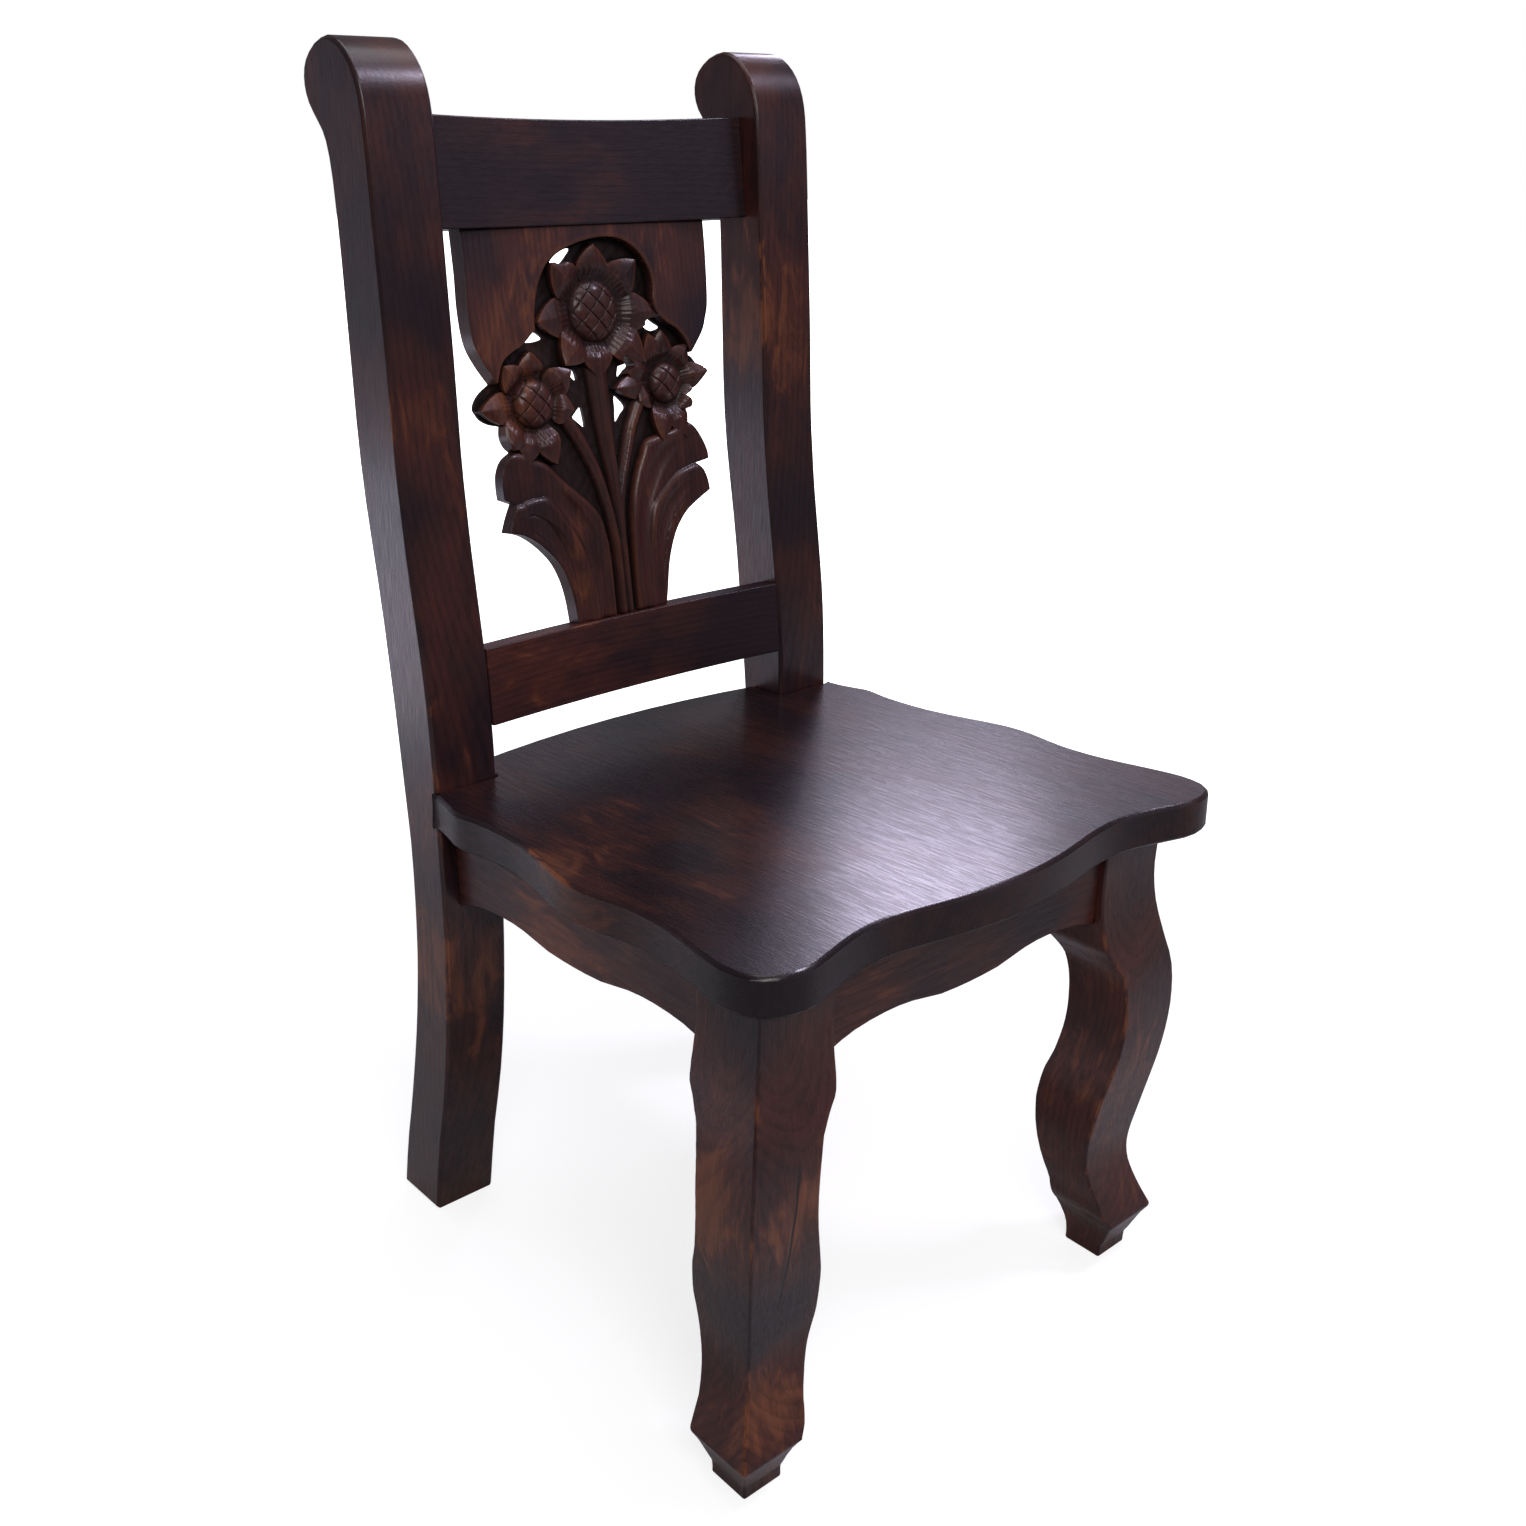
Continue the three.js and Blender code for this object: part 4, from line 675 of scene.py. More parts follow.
def eased_copy(node, name, width, timber):
    """A welded copy of a CAD node with its arrises rounded, and the rounded faces marked for wear."""
    bm = bmesh.new()
    bm.from_mesh(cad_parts[node].data)
    bmesh.ops.remove_doubles(bm, verts=bm.verts, dist=WELD)
    bmesh.ops.dissolve_limit(bm, angle_limit=FLAT, verts=bm.verts, edges=bm.edges)
    rough = bpy.data.meshes.new(f"{name}_rough")
    bm.to_mesh(rough)
    bm.free()
    holder = new_object(f"{name}_rough", rough, wood(timber))
    bevel = holder.modifiers.new("ease", "BEVEL")
    bevel.width = width
    bevel.segments = bpy.context.scene.chair.arris.segments
    bevel.limit_method = "ANGLE"
    bevel.angle_limit = ARRIS
    bevel.use_clamp_overlap = False
    bevel.miter_outer = "MITER_ARC"
    bevel.material = 1
    rough.materials.append(wood(timber))
    rough.polygons.foreach_set("use_smooth", [True] * len(rough.polygons))
    weigh = holder.modifiers.new("weigh", "WEIGHTED_NORMAL")
    weigh.mode = "FACE_AREA"
    weigh.weight = FACE_WEIGHT
    graph = bpy.context.evaluated_depsgraph_get()
    mesh = bpy.data.meshes.new_from_object(holder.evaluated_get(graph))
    bpy.data.objects.remove(holder)
    marks = [float(face.material_index == 1) for face in mesh.polygons]
    mesh.attributes.new("arris", "FLOAT", "FACE").data.foreach_set("value", marks)
    mesh.polygons.foreach_set("material_index", [0] * len(mesh.polygons))
    mesh.name = name
    seat_on_frame(new_object(name, mesh, wood(timber)), node)


# Curves of the carving


def on_board(shares):
    """Millimetres on the board from shares of half its width and of its height."""
    return np.array(shares, float) * (BOARD_WIDTH / 2, BOARD_HEIGHT)


def spline(points, spacing):
    """A smooth line through the points, with its own points about spacing apart."""
    points = np.asarray(points, float)
    if len(points) == 2:
        steps = max(1, round(np.linalg.norm(points[1] - points[0]) / spacing))
        return points[0] + np.linspace(0, 1, steps + 1)[:, None] * (points[1] - points[0])
    length = np.linalg.norm(np.diff(points, axis=0), axis=1).sum()
    t = np.linspace(0, len(points) - 1, max(2, round(length / spacing)) + 1)
    i = np.minimum(t.astype(int), len(points) - 2)
    w = (t - i)[:, None]
    p0, p1 = points[np.maximum(i - 1, 0)], points[i]
    p2, p3 = points[i + 1], points[np.minimum(i + 2, len(points) - 1)]
    return hermite(p1, p2, (p2 - p0) / 2, (p3 - p1) / 2, w)


def hermite(p1, p2, v0, v1, w):
    return (2 * w**3 - 3 * w**2 + 1) * p1 + (w**3 - 2 * w**2 + w) * v0 + (
        3 * w**2 - 2 * w**3) * p2 + (w**3 - w**2) * v1


def closed_spline(shares, spacing):
    """A smooth ring through the points."""
    points = on_board(shares)
    count = len(points)
    length = np.linalg.norm(np.diff(np.vstack([points, points[:1]]), axis=0), axis=1).sum()
    t = np.linspace(0, count, max(count, round(length / spacing)), endpoint=False)
    i = t.astype(int)
    w = (t - i)[:, None]
    p0, p1, p2, p3 = (points[(i + k) % count] for k in (-1, 0, 1, 2))
    return hermite(p1, p2, (p2 - p0) / 2, (p3 - p1) / 2, w)


def board_outline(spacing):
    runs = [spline(on_board(run), spacing)[:-1] for run in OUTLINE_SHARES]
    corners = [OUTLINE_SHARES[FOOT_RUN][-1], OUTLINE_SHARES[FOOT_RUN + 1][0]]
    bottom = spline(on_board(corners), spacing)[:-1]
    top = spline(on_board([OUTLINE_SHARES[-1][-1], OUTLINE_SHARES[0][0]]), spacing)[:-1]
    return np.vstack([*runs[:FOOT_RUN + 1], bottom, *runs[FOOT_RUN + 1:], top])


def shield_line(spacing):
    """The shield's lower edge with the arch over the middle flower."""
    return np.vstack([spline(on_board(run), spacing)[:-1] for run in SHIELD_RUNS] + [
        on_board(SHIELD_RUNS[-1][-1:])])


def shield_ring():
    """A ring round the shield that only meets the board along the shield's lower edge."""
    far = on_board([(1.3, 0.6), (1.3, 1.1), (-1.3, 1.1), (-1.3, 0.6)])
    return np.vstack([shield_line(2), far])


# Heights of the carving


def line_distance(points, line):
    """Distance from each point to an open line, and how far along the line its foot lies, from 0 to 1."""
    best = np.full(len(points), np.inf)
    along = np.zeros(len(points))
    count = len(line) - 1
    for k in range(count):
        a, d = line[k], line[k + 1] - line[k]
        w = np.clip(((points - a) @ d) / max(d @ d, 1e-9), 0, 1)
        gap = np.hypot(*(points - a - w[:, None] * d).T)
        nearer = gap < best
        best[nearer] = gap[nearer]
        along[nearer] = (k + w[nearer]) / count
    return best, along


def depth_inside(points, ring):
    """Distance from each point to a closed ring, above zero inside it."""
    best, _ = line_distance(points, np.vstack([ring, ring[:1]]))
    inside = np.zeros(len(points), bool)
    x, y = points.T
    previous = np.roll(ring, 1, axis=0)
    for (ax, ay), (bx, by) in zip(previous, ring):
        if ay != by:
            crosses = ((ay > y) != (by > y)) & (x < (bx - ax) * (y - ay) / (by - ay) + ax)
            inside ^= crosses
    return np.where(inside, best, -best)


def bulge(share):
    """A quarter round: 0 at 0, 1 at 1, steep at its foot."""
    s = np.clip(share, 0, 1)
    return np.sqrt(1 - (1 - s) ** 2)


def ease(share):
    s = np.clip(share, 0, 1)
    return s * s * (3 - 2 * s)


def petal_frame(points, centre, radius, bearing, reach):
    """Share of a petal's way and the distance to its ridge."""
    turn = math.radians(bearing)
    rel = points - centre
    root = radius * PETAL_ROOT
    along = rel @ (math.cos(turn), math.sin(turn))
    return (along - root) / (reach - root), rel @ (-math.sin(turn), math.cos(turn))


def petal_height(points, centre, radius, bearing, reach, sunk):
    """A petal rises out of the cove round the seed head, has a ridge, and falls to its tip."""
    way, side = petal_frame(points, centre, radius, bearing, reach)
    half = radius * PETAL_HALF
    shares, widths, ridges, edges = PETAL_ROWS
    across = np.abs(side) / np.maximum(half * np.interp(way, shares, widths), 1e-6)
    ridge, edge = np.interp(way, shares, ridges), np.interp(way, shares, edges)
    height = ridge + (edge - ridge) * np.clip(across, 0, 1) ** 1.1 - sunk * ease(way / 0.3)
    for place in PETAL_CUTS:
        fan = place * (0.7 + 0.5 * np.clip(way, 0, 1))
        cut = np.exp(-((side / half - fan) / CUT_WIDTH) ** 2)
        end = 0.5 - 0.14 * abs(place)
        height -= CUT_DEPTH * cut * ease((way + 0.02) / 0.08) * ease((end - way) / 0.14)
    return np.where((way > -0.2) & (way < 1) & (across < 1), height, -99.0)


def near(points, line, reach):
    """Which points lie in the box round a line, grown by reach."""
    low, high = line.min(axis=0) - reach, line.max(axis=0) + reach
    return np.all((points > low) & (points < high), axis=1)


def over(height, where, values):
    """Raises the heights of some of the points."""
    height[where] = np.maximum(height[where], values)


def carved_height(points):
    """Height of the finished carving over each point of the board."""
    x, y = points.T
    height = np.full(len(points), GROUND_DEPTH)
    height += 0.3 * np.sin(x / 2.1 + 1.3 * np.sin(y / 5.3)) * np.sin(y / 3.4 + 0.7 * np.sin(x / 6.1))
    for crown, shares in LEAVES:
        inside = depth_inside(points, spline(on_board(shares), ROUTE_STEP))
        roll = crown - LEAF_ROLL * (1 - bulge(inside / LEAF_ROLL)) - 0.9 * ease((inside - 5) / 9)
        over(height, inside > 0, roll[inside > 0])
    for half, depth, route in SCOOPS:
        line = spline(on_board(route), ROUTE_STEP)
        at = near(points, line, half)
        gap, along = line_distance(points[at], line)
        bowl = np.clip(1 - (gap / half) ** 2, 0, 1) ** 1.3
        height[at] -= depth * bowl * ease(along / 0.3) * (height[at] > LIFTED)
    for half, depth, route in VEINS:
        line = spline(on_board(route), ROUTE_STEP)
        at = near(points, line, half)
        gap, along = line_distance(points[at], line)
        height[at] -= depth * np.clip(1 - gap / half, 0, 1) * ease(along / 0.1) * ease((1 - along) / 0.15)
    for wide, narrow, rise, route in STEMS:
        line = spline(on_board(route), ROUTE_STEP)
        at = near(points, line, wide)
        gap, along = line_distance(points[at], line)
        width = narrow + (wide - narrow) * (1 - along) ** 1.6
        round_part = np.sqrt(np.clip(1 - (gap / width) ** 2, 0, 1))
        stem = GROUND_DEPTH + rise * (0.35 * round_part + 0.65 * np.clip(1.25 - gap / width, 0, 1))
        stem -= 0.5 * np.exp(-((gap / width - 0.45) / 0.09) ** 2)
        over(height, np.flatnonzero(at)[gap < width], stem[gap < width])
    for share, radius, petals in FLOWERS.values():
        centre = on_board([share])[0]
        at = np.flatnonzero(np.hypot(*(points - centre).T) < FLOWER_REACH * BOARD_WIDTH / 2)
        away = np.hypot(*(points[at] - centre).T) / radius
        cove = away < COVE_REACH
        height[at[cove]] = np.minimum(height[at[cove]], COVE_DEPTH)
        for bearing, reach, sunk in petals:
            over(height, at, petal_height(points[at], centre, radius, bearing, reach * BOARD_WIDTH / 2, sunk))
    shield = depth_inside(points, shield_ring())
    face = -SHIELD_FALL * (1 - bulge(shield / SHIELD_ROUND))
    over(height, shield > 0, face[shield > 0])
    return height


def relief_light_and_shade(points, height):
    """1 on crests and -1 in hollows, from how each point stands over the work round it: painted highlight on
    the crests and painted shade in the hollows.
    """
    step, margin, contrast = 1.2, 8, 1.5
    low, high = points.min(axis=0) - margin * step, points.max(axis=0) + margin * step
    columns, rows = np.arange(low[0], high[0], step), np.arange(low[1], high[1], step)
    gx, gy = np.meshgrid(columns, rows)
    level = carved_height(np.stack([gx.ravel(), gy.ravel()], 1)).reshape(gx.shape)
    mark = np.zeros(len(points))
    for passes in (3, 9):
        blurred = level.copy()
        for _ in range(passes):
            blurred[1:-1, 1:-1] = (
                blurred[1:-1, 1:-1] * 2 + blurred[:-2, 1:-1] + blurred[2:, 1:-1] + blurred[1:-1, :-2]
                + blurred[1:-1, 2:]) / 6
        place = (points - low) / step
        i, j = place[:, 1].astype(int), place[:, 0].astype(int)
        u, v = place[:, 0] - j, place[:, 1] - i
        around = (
            blurred[i, j] * (1 - u) * (1 - v) + blurred[i, j + 1] * u * (1 - v)
            + blurred[i + 1, j] * (1 - u) * v + blurred[i + 1, j + 1] * u * v)
        mark += (height - around) / 2
    return np.clip(mark / contrast, -1, 1)


# The carved board


def board_matrix():
    lean = Matrix.Rotation(math.pi / 2 - BOARD_LEAN, 4, "X")
    return Matrix.Translation(Vector((BOARD_OFFSET, BOARD_FOOT_Y, BOARD_FOOT_Z)) * MM) @ lean @ Matrix.Scale(
        MM, 4)


def inward(ring):
    """Unit steps from a ring's points towards its inside."""
    step = np.roll(ring, -1, axis=0) - np.roll(ring, 1, axis=0)
    step /= np.maximum(np.hypot(*step.T), 1e-9)[:, None]
    area = np.sum(ring[:, 0] * np.roll(ring[:, 1], -1) - np.roll(ring[:, 0], -1) * ring[:, 1])
    return np.stack([-step[:, 1], step[:, 0]], 1) * np.sign(area)


def triangles(points, rings, outside):
    """Delaunay triangles between the rings, without those that lie in a hole or past the outline."""
    edges, start = [], 0
    for ring in rings:
        count = len(ring)
        edges += [(start + k, start + (k + 1) % count) for k in range(count)]
        start += count
    made = delaunay_2d_cdt([Vector(p) for p in points], edges, [], 0, 1e-5, True)
    verts = np.array([tuple(v) for v in made[0]])
    faces = np.array([f for f in made[2] if len(f) == 3])
    middle = verts[faces].mean(axis=1)
    keep = depth_inside(middle, outside) > 0
    for ring in rings[1:]:
        keep &= depth_inside(middle, ring) < 0
    origin = [ids[0] if ids else -1 for ids in made[3]]
    return verts, faces[keep], origin


def hexagonal(spacing):
    """Points of a hexagonal net over the board."""
    half = 1.04 * BOARD_WIDTH / 2
    rows = np.arange(spacing / 2, BOARD_HEIGHT, spacing * math.sqrt(3) / 2)
    columns = np.arange(-half, half, spacing)
    x, y = np.meshgrid(columns, rows)
    x = x + (np.arange(len(rows)) % 2)[:, None] * spacing / 2
    return np.stack([x.ravel(), y.ravel()], 1)


def petal_rim(share, radius, bearing, reach, spacing):
    """The edge of a petal, from one side of its root over the tip to the other."""
    shares, widths = PETAL_ROWS[:2]
    root = radius * PETAL_ROOT
    way = np.linspace(0, 1, round((reach - root) / spacing) + 1)
    half = radius * PETAL_HALF * np.interp(way, shares, widths)
    along = root + (reach - root) * way
    rim = np.vstack([np.stack([along, half], 1), np.stack([along, -half], 1)[::-1][1:]])
    turn = math.radians(bearing)
    spin = np.array([[math.cos(turn), math.sin(turn)], [-math.sin(turn), math.cos(turn)]])
    return on_board([share])[0] + rim @ spin


def work_lines(spacing):
    """Every line of the carving where its surface steps or creases."""
    lines = [shield_line(spacing)]
    lines += [spline(on_board(shares[1:-3]), spacing) for _, shares in LEAVES]
    for share, radius, petals in FLOWERS.values():
        centre = on_board([share])[0]
        for bearing, reach, _ in petals:
            lines.append(petal_rim(share, radius, bearing, reach * BOARD_WIDTH / 2, spacing))
            turn = np.array((math.cos(math.radians(bearing)), math.sin(math.radians(bearing))))
            ends = centre + turn * radius, centre + turn * (reach * BOARD_WIDTH / 2 - 0.5)
            lines.append(spline(np.array(ends), spacing))
    return lines


def beside(line, gap):
    """Points a little to each side of a line."""
    step = np.gradient(line, axis=0)
    step /= np.maximum(np.hypot(*step.T), 1e-9)[:, None]
    aside = np.stack([-step[:, 1], step[:, 0]], 1) * gap
    return np.vstack([line + aside, line - aside])


def thinned(points, gap):
    """The points without those that fall into an earlier point's cell."""
    _, first = np.unique(np.floor(points / gap).astype(int), axis=0, return_index=True)
    return points[np.sort(first)]


# Points of the net beside a line of the carving: how far they lie from it and the side of the cells that
# keep one each, in millimetres, and their distance along the line as a share of the spacing
BESIDE = 0.16
APART = 0.22
ALONG = 0.62
# Side of the cells that such points keep free of other points, and the strip along the outline that is
# kept free of all, as shares of the spacing
CELL = 0.6
CLEAR = 0.5
# How far inside the outline the heights of its points are read, in millimetres
INSIDE = 0.35


def work_net(spacing, outline, holes):
    """A net over the board that runs close beside every line of the carving."""
    marks = thinned(np.vstack([beside(line, BESIDE) for line in work_lines(ALONG * spacing)]), APART)
    net = hexagonal(spacing)
    taken = {tuple(cell) for cell in np.floor(marks / (CELL * spacing)).astype(int)}
    cells = np.floor(net / (CELL * spacing)).astype(int)
    net = net[[tuple(cell) not in taken for cell in cells]]
    points = np.vstack([marks, net])
    clear = depth_inside(points, outline) > CLEAR * spacing
    for hole in holes:
        clear &= depth_inside(points, hole) < -CLEAR * spacing
    return points[clear]


def carved_board():
    """The splat: a front in relief, a flat back, and walls round the outline and every hole."""
    carving = bpy.context.scene.chair.carving
    spacing, edge = carving.spacing / MM, carving.edge / MM
    outline = board_outline(edge)
    holes = [closed_spline(shares, edge) for shares in HOLE_SHARES]
    rings = [outline, *holes]
    net = work_net(spacing, outline, holes)
    steps = np.vstack([inward(outline)] + [-inward(hole) for hole in holes])
    border = np.vstack(rings)
    points = np.vstack([border, net])
    samples = np.vstack([border + steps * INSIDE, net])
    height = carved_height(samples)
    away = np.full(len(samples), np.inf)
    for ring in rings:
        away = np.minimum(away, np.abs(depth_inside(samples, ring)))
    mark = relief_light_and_shade(samples, height)
    soft = carving.softness / MM
    height = height - soft * (1 - bulge(away / soft)) * (height > LIFTED)

    verts, faces, origin = triangles(points, rings, outline)
    rim = len(border)
    back_verts, back_faces, _ = triangles(border, rings, outline)
    if len(back_verts) != rim or len(verts) != len(points) or origin != list(range(len(points))):
        raise RuntimeError("two points of the splat's net fall together")
    count = len(verts)
    front = np.column_stack([verts, height])
    rear = np.column_stack([back_verts, np.full(rim, -BOARD_THICKNESS)])
    quads, start = [], 0
    for ring in rings:
        ids = np.arange(start, start + len(ring))
        after = np.roll(ids, -1)
        quads += np.stack([ids, after, after + count, ids + count], 1).tolist()
        start += len(ring)
    ups = faces.tolist()
    downs = (back_faces[:, ::-1] + count).tolist()
    mesh = bpy.data.meshes.new("carved_sunflower_splat")
    mesh.from_pydata(np.vstack([front, rear]).tolist(), [], ups + downs + quads)
    mesh.transform(board_matrix())
    # The relief mark becomes painted highlight on the crests and painted shade in the grooves, and the hollow
    # mark becomes painted shade with some gathered stain below HOLLOW_START.
    marks = np.concatenate([mark, np.zeros(rim)])
    mesh.attributes.new("relief", "FLOAT", "POINT").data.foreach_set("value", marks.astype(np.float32))
    sunk = np.concatenate([ease((HOLLOW_START - height) / HOLLOW_SPAN), np.zeros(rim)])
    mesh.attributes.new("hollow", "FLOAT", "POINT").data.foreach_set("value", sunk.astype(np.float32))
    bm = bmesh.new()
    bm.from_mesh(mesh)
    bmesh.ops.recalc_face_normals(bm, faces=bm.faces)
    bm.to_mesh(mesh)
    bm.free()
    shade(mesh, 42)
    return mesh


# Seed heads


# A seed head: the power that squares its shoulder, how far its rim falls in metres, and the power at
# which its cuts run out towards the rim
SHOULDER = 3.4
RIM_FALL = 0.0016
CUT_RUN_OUT = 6.0


def seed_sizes(radius):
    """The lengths that shape a seed head."""
    carving = bpy.context.scene.chair.carving
    return {
        "Radius": radius * MM, "Crown": carving.seed_crown, "Seed pitch": carving.seed_pitch,
        "Groove width": carving.seed_gap, "Groove depth": carving.seed_depth,
        "Seed bulge": carving.seed_rise}


def seed_head_tree():
    """A dome whose face is cut crosswise into seeds, with its sizes as inputs."""
    tree = bpy.data.node_groups.new("seed_head", "GeometryNodeTree")
    for name, value in seed_sizes(FLOWERS["centre"][1]).items():
        socket = tree.interface.new_socket(name, in_out="INPUT", socket_type="NodeSocketFloat")
        socket.default_value = value
        socket.subtype = "DISTANCE"
    tree.interface.new_socket("Rings", in_out="INPUT", socket_type="NodeSocketInt").default_value = 64
    tree.interface.new_socket("Wood", in_out="INPUT", socket_type="NodeSocketMaterial")
    tree.interface.new_socket("Geometry", in_out="OUTPUT", socket_type="NodeSocketGeometry")
    graph = Graph(tree)
    given = {
        socket.name: Signal(graph, socket) for socket in tree.nodes.new("NodeGroupInput").outputs
        if socket.name}
    radius, crown, pitch = given["Radius"], given["Crown"], given["Seed pitch"]

    cone = graph.node(
        "GeometryNodeMeshCone", {"fill_type": "NGON"},
        {"Vertices": given["Rings"] * 3.0, "Side Segments": given["Rings"], "Radius Bottom": radius,
         "Radius Top": 0.0, "Depth": crown}, output="Mesh")
    x, y, _ = graph.parts(graph.node("GeometryNodeInputPosition"))
    away = (x * x + y * y).root() / radius
    dome = crown * (1.0 - away ** SHOULDER).at_least(0.0) ** 0.5 - away * away * RIM_FALL
    cut, pillow = 0.0, 1.0
    for sign in (1.0, -1.0):
        across = (x + y * sign) * math.sqrt(0.5)
        to_line = (across + pitch * 0.5).ping_pong(pitch * 0.5)
        groove = 1.0 - to_line / given["Groove width"] * 2.0
        cut = groove.at_least(cut)
        pillow = (to_line / pitch * math.pi).sine() * pillow
    face = 1.0 - away ** CUT_RUN_OUT
    up = dome + pillow * given["Seed bulge"] * face - cut * given["Groove depth"] * face
    is_base = graph.node(
        "FunctionNodeCompare", {"data_type": "FLOAT", "operation": "GREATER_THAN"}, {0: away, 1: 0.9999})
    level = graph.node("GeometryNodeSwitch", {"input_type": "FLOAT"}, {0: is_base, 1: up})
    moved = graph.node(
        "GeometryNodeSetPosition", None, {"Geometry": cone, "Position": graph.vector(x, y, level)})
    # Marks the seeds' faces a little light and the grooves and the dome's rim dark, as painted highlight and
    # painted shade.
    marked = graph.node(
        "GeometryNodeStoreNamedAttribute", {"data_type": "FLOAT", "domain": "POINT"},
        {"Geometry": moved, "Name": "relief", "Value": 0.25 - (cut + away ** 9.0 * 0.8)})
    whole = graph.node("GeometryNodeRealizeInstances", None, {0: marked})
    stained = graph.node(
        "GeometryNodeSetMaterial", None, {"Geometry": whole, "Material": given["Wood"]})
    graph.node("NodeGroupOutput", None, {0: stained})
    return tree


def seed_head(place, tree, radius):
    """One seed head as a plain mesh on the splat."""
    name = f"seed_head_{place}"
    holder = new_object(name, bpy.data.meshes.new(f"{name}_start"), wood("splat"))
    modifier = holder.modifiers.new("seeds", "NODES")
    modifier.node_group = tree
    values = {**seed_sizes(radius), "Wood": wood("splat"), "Rings": 64}
    for item in tree.interface.items_tree:
        if item.name in values and item.in_out == "INPUT":
            modifier[item.identifier] = values[item.name]
    mesh = bpy.data.meshes.new_from_object(
        holder.evaluated_get(bpy.context.evaluated_depsgraph_get()))
    bpy.data.objects.remove(holder)
    mesh.name = name
    x, y = on_board([FLOWERS[place][0]])[0]
    rise = Matrix.Translation((x, y, SEED_HEAD_DEPTH)) @ Matrix.Scale(1 / MM, 4)
    mesh.transform(board_matrix() @ rise)
    shade(mesh, 40)
    return new_object(name, mesh, wood("splat"))


# Operators


class BuildSplat(bpy.types.Operator):
    """Carves the pierced splat, with its sunflowers and their seed heads."""

    bl_idname = "chair.splat"
    bl_label = "Carved splat"

    def execute(self, context):
        made = new_object("carved_sunflower_splat", carved_board(), wood("splat"))
        seat_on_frame(made, "carved_splat")
        tree = seed_head_tree()
        for place, (_, radius, _) in FLOWERS.items():
            seat_on_frame(seed_head(place, tree, radius), "carved_splat")
        return {"FINISHED"}


class BuildPosts(bpy.types.Operator):
    """Eases the edges of the two scrolled back posts."""

    bl_idname = "chair.posts"
    bl_label = "Back posts"

    def execute(self, context):
        for hand in ("right", "left"):
            eased_copy(
                f"back_post_{hand}", f"scrolled_post_{hand}", context.scene.chair.arris.post, "post")
        return {"FINISHED"}


class BuildRails(bpy.types.Operator):
    """Eases the edges of the crest rail and the lower rail."""

    bl_idname = "chair.rails"
    bl_label = "Back rails"

    def execute(self, context):
        width = context.scene.chair.arris.rail
        eased_copy("crest_rail", "bowed_crest_rail", width, "rail")
        eased_copy("lower_back_rail", "bowed_lower_rail", width, "lower_rail")
        return {"FINISHED"}


class BuildSeat(bpy.types.Operator):
    """Eases the rim of the wavy seat board."""

    bl_idname = "chair.seat"
    bl_label = "Seat board"

    def execute(self, context):
        eased_copy(
            "seat_board", "wavy_seat_board", context.scene.chair.arris.seat, "seat")
        return {"FINISHED"}


class BuildLegs(bpy.types.Operator):
    """Eases the edges of the two sawn front legs."""

    bl_idname = "chair.legs"
    bl_label = "Front legs"

    def execute(self, context):
        for hand in ("right", "left"):
            eased_copy(
                f"front_leg_{hand}", f"sawn_front_leg_{hand}", context.scene.chair.arris.leg, "leg")
        return {"FINISHED"}


class BuildAprons(bpy.types.Operator):
    """Eases the edges of the four aprons."""

    bl_idname = "chair.aprons"
    bl_label = "Aprons"

    def execute(self, context):
        width = context.scene.chair.arris.rail
        for hand in ("right", "left"):
            eased_copy(
                f"side_apron_{hand}", f"shaped_side_apron_{hand}", width, "side_apron")
        for place in ("front", "rear"):
            eased_copy(
                f"{place}_apron", f"shaped_{place}_apron", width, "front_apron")
        return {"FINISHED"}


class FinishHardware(bpy.types.Operator):
    """Gives the corner blocks and the screws under the seat their finish."""

    bl_idname = "chair.hardware"
    bl_label = "Blocks and screws"

    def execute(self, context):
        steel = zinc_steel()
        for name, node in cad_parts.items():
            if name.startswith("corner_block"):
                node.data.materials.clear()
                node.data.materials.append(wood("block"))
            elif "screw" in name:
                node.data.materials.clear()
                node.data.materials.append(steel)
        return {"FINISHED"}


def area_light(name, place, target, size, power, colour):
    light = bpy.data.lights.new(name, "AREA")
    light.shape = "RECTANGLE"
    light.size, light.size_y = size
    light.energy = power
    light.color = colour
    made = bpy.data.objects.new(name, light)
    made.matrix_world = Matrix.Translation(place) @ (
        (Vector(target) - Vector(place)).to_track_quat("-Z", "Y").to_matrix().to_4x4())
    made.visible_camera = False
    bpy.context.scene.collection.objects.link(made)


# How much of the white surroundings the lacquer mirrors: all of it would veil such a dark stain.
MIRRORED = 0.06
# The floor turns from mostly lit near the chair to mostly plain white, between these distances in metres.
FLOOR_FADE = (0.7, 1.9)

# Each lamp's place, what it is aimed at, its width and height, and its colour. Their powers are settings.
PALE = (0.83, 0.77, 1.0)
LAMPS = {
    "window": ((2.339, 1.879, 2.13), (-0.025, 0.032, 2.13), (0.52, 0.94), PALE),
    "skylight": ((1.67, -0.97, 3.2), (0, 0.2, 1.0), (0.6, 0.45), PALE),
    "glow": ((2.555, 1.603, 1.55), (0.19, -0.24, 1.55), (1.38, 1.1), PALE),
    "side": ((-1.1, 1.05, 0.24), (-0.2, 0.1, 0.24), (1.5, 0.44), (0.85, 0.82, 1.0)),
    "front": ((1.5, -1.9, 1.6), (0, 0, 0.9), (1.2, 1.0), PALE),
    "backdrop": ((-0.3, 2.7, 0.62), (-0.3, 0, 0.62), (4.4, 1.22), PALE),
    "fill": ((-1.3, -2.1, 2.5), (0, 0, 0.45), (1.6, 1.6), (1.0, 0.95, 0.93)),
    "overhead": ((0.1, 0.2, 2.9), (0, 0, 0.4), (1.8, 1.8), (0.97, 0.94, 1.0)),
}


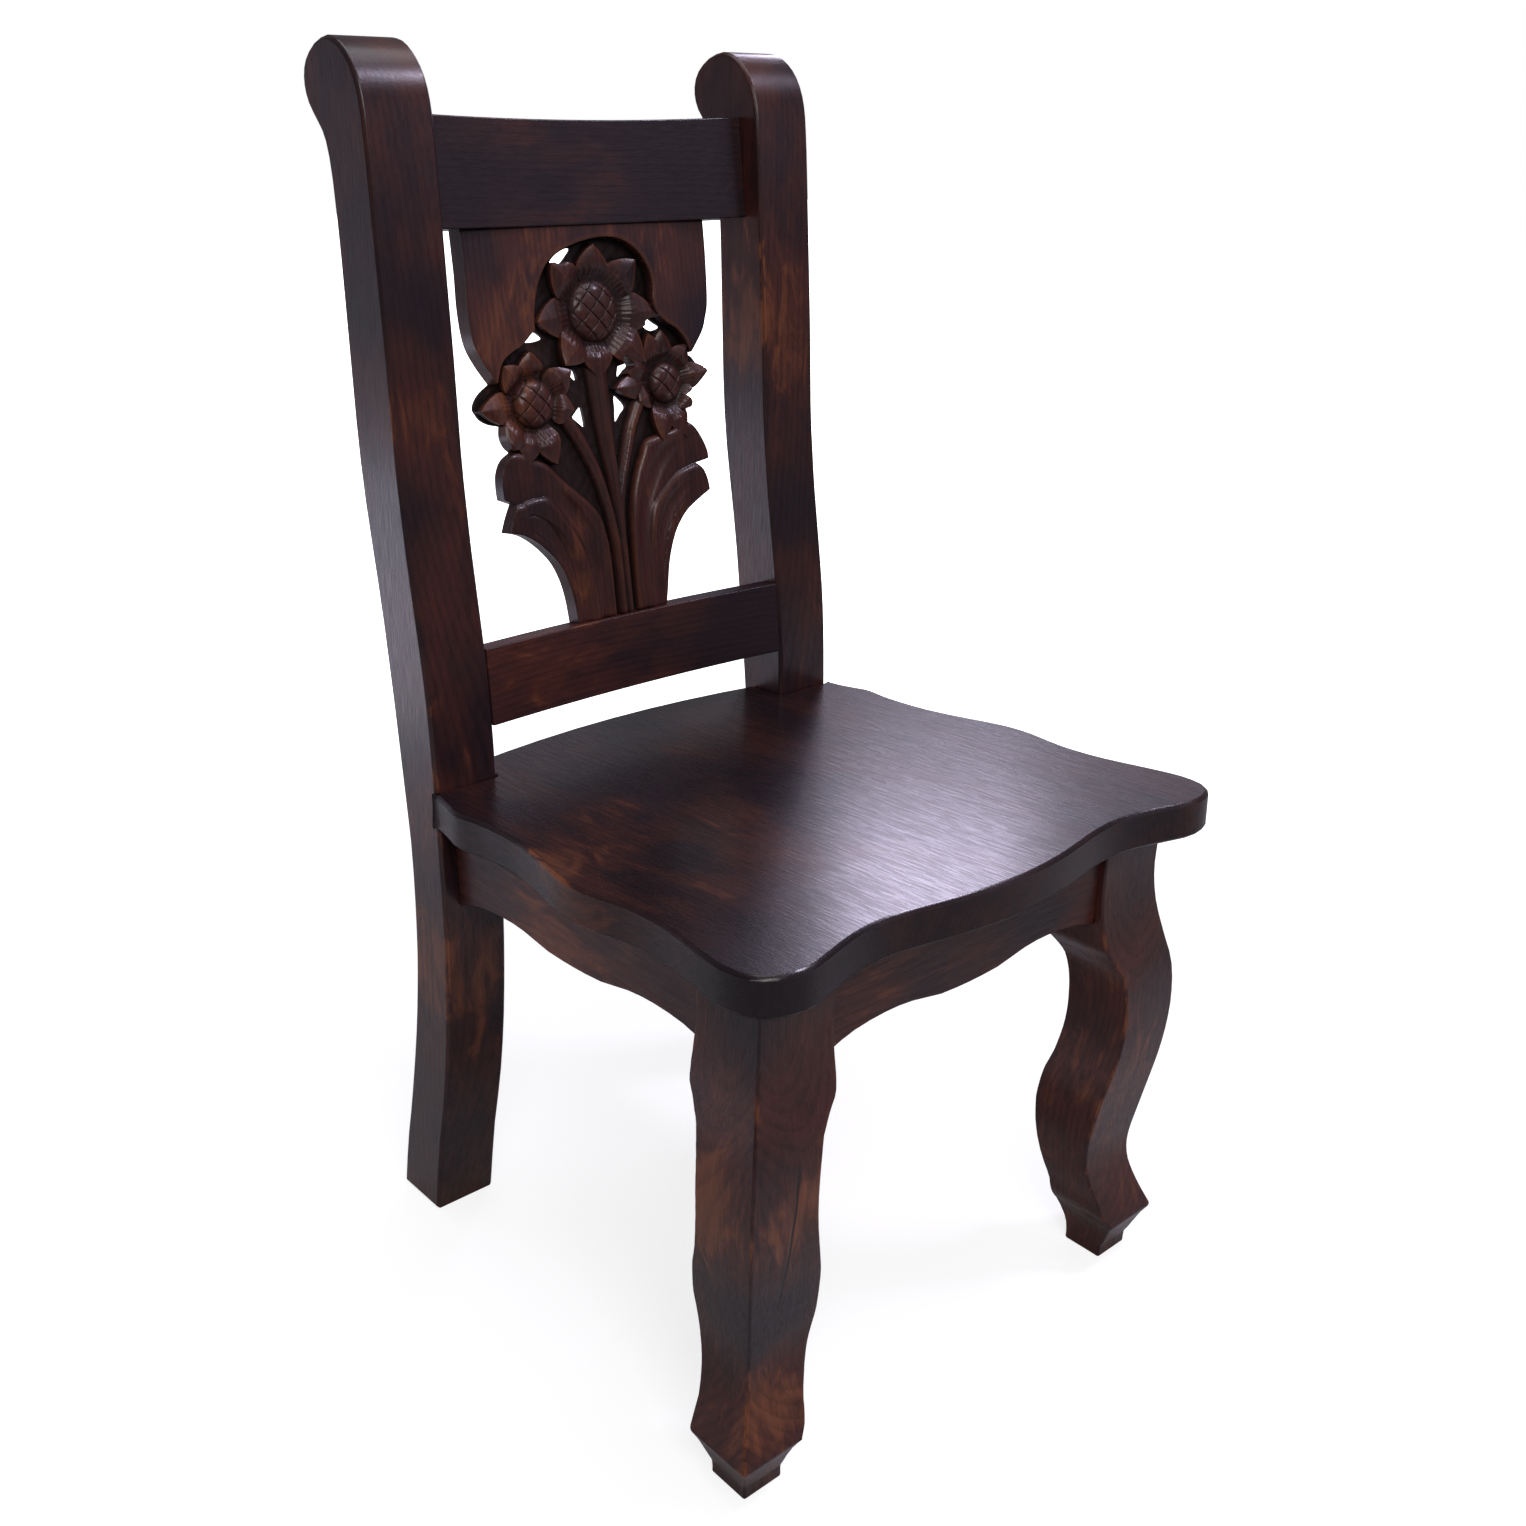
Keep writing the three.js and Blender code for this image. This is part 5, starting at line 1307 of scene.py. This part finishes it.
def shown_white(graph):
    """How much of the plain white a ray is shown."""
    camera, glass, mirror = (
        graph.node("ShaderNodeLightPath", output=f"Is {ray} Ray")
        for ray in ("Camera", "Transmission", "Glossy"))
    return camera + glass + mirror * MIRRORED


def white_floor():
    """A floor that the camera sees as white, with the chair's faint shadow."""
    graph = Graph(bpy.data.materials.new("white_floor"))
    x, y, _ = graph.parts(graph.place())
    far = (x * x + y * y).root().within(*FLOOR_FADE)
    lit = graph.node("ShaderNodeBsdfDiffuse", None, {"Color": (0.5, 0.5, 0.51, 1)})
    glow = graph.node("ShaderNodeEmission", None, {"Color": (1, 1, 1, 1), "Strength": 2.6})
    share = shown_white(graph) * (far * 0.6 + 0.3)
    return graph.finish(graph.node("ShaderNodeMixShader", None, {0: share, 1: lit, 2: glow}))


def white_room(strength):
    """A world that the camera sees as white, and that lights the chair a little from all sides."""
    world = bpy.data.worlds.new("studio")
    graph = Graph(world)
    white = graph.node("ShaderNodeBackground", None, {"Color": (1, 1, 1, 1), "Strength": 1.0})
    room = graph.node(
        "ShaderNodeBackground", None, {"Color": (0.88, 0.85, 1.0, 1), "Strength": strength})
    return graph.finish(
        graph.node("ShaderNodeMixShader", None, {0: shown_white(graph), 1: room, 2: white}))


def set_camera(stage):
    """The camera at its place, turned by its bearing, its look down and its roll."""
    lens = bpy.data.cameras.new("camera")
    lens.sensor_width = 36
    lens.lens = stage.lens
    lens.shift_x, lens.shift_y = stage.shift_x, stage.shift_y
    lens.clip_start = 0.05
    a, e, r = stage.azimuth, stage.elevation, stage.roll
    back = Vector((math.sin(a) * math.cos(e), -math.cos(a) * math.cos(e), math.sin(e)))
    level = Vector((math.cos(a), math.sin(a), 0))
    upright = back.cross(level)
    right = level * math.cos(r) + upright * math.sin(r)
    up = upright * math.cos(r) - level * math.sin(r)
    turn = Matrix((right, up, back)).transposed().to_4x4()
    camera = bpy.data.objects.new("camera", lens)
    camera.matrix_world = Matrix.Translation(stage.place) @ turn
    bpy.context.scene.collection.objects.link(camera)
    bpy.context.scene.camera = camera


class BuildStage(bpy.types.Operator):
    """Sets the floor, the soft lights and the camera."""

    bl_idname = "chair.stage"
    bl_label = "Stage"

    def execute(self, context):
        stage = context.scene.chair.stage
        mesh = bpy.data.meshes.new("floor")
        reach = 14.0
        mesh.from_pydata(
            [(-reach, -reach, 0), (reach, -reach, 0), (reach, reach, 0), (-reach, reach, 0)],
            [], [(0, 1, 2, 3)])
        new_object("floor", mesh, white_floor())

        context.scene.world = white_room(stage.room)
        for name, (place, target, size, colour) in LAMPS.items():
            area_light(name, place, target, size, getattr(stage, name), colour)
        set_camera(stage)
        context.scene.view_settings.view_transform = "Standard"
        return {"FINISHED"}


class ChairPanel(bpy.types.Panel):
    """Lists the pieces of the chair and their settings."""

    bl_idname = "VIEW3D_PT_chair"
    bl_label = "Carved dining chair"
    bl_space_type = "VIEW_3D"
    bl_region_type = "UI"
    bl_category = "Chair"

    def draw(self, context):
        layout = self.layout
        for operator in OPERATORS:
            layout.operator(operator.bl_idname)
        chair = context.scene.chair
        for group in (chair.stain, chair.carving, chair.arris, chair.stage):
            box = layout.box()
            for name in group.__annotations__:
                box.prop(group, name)


OPERATORS = (
    BuildSplat, BuildPosts, BuildRails, BuildSeat, BuildLegs, BuildAprons, FinishHardware, BuildStage,
)
CLASSES = (
    StainSettings, CarvingSettings, ArrisSettings, StageSettings, ChairSettings, *OPERATORS, ChairPanel,
)


def register():
    for item in CLASSES:
        bpy.utils.register_class(item)
    bpy.types.Scene.chair = PointerProperty(type=ChairSettings)


def unregister():
    del bpy.types.Scene.chair
    for item in reversed(CLASSES):
        bpy.utils.unregister_class(item)


def main():
    register()
    bpy.ops.chair.splat()
    bpy.ops.chair.posts()
    bpy.ops.chair.rails()
    bpy.ops.chair.seat()
    bpy.ops.chair.legs()
    bpy.ops.chair.aprons()
    bpy.ops.chair.hardware()
    bpy.ops.chair.stage()


if __name__ == "__main__":
    main()
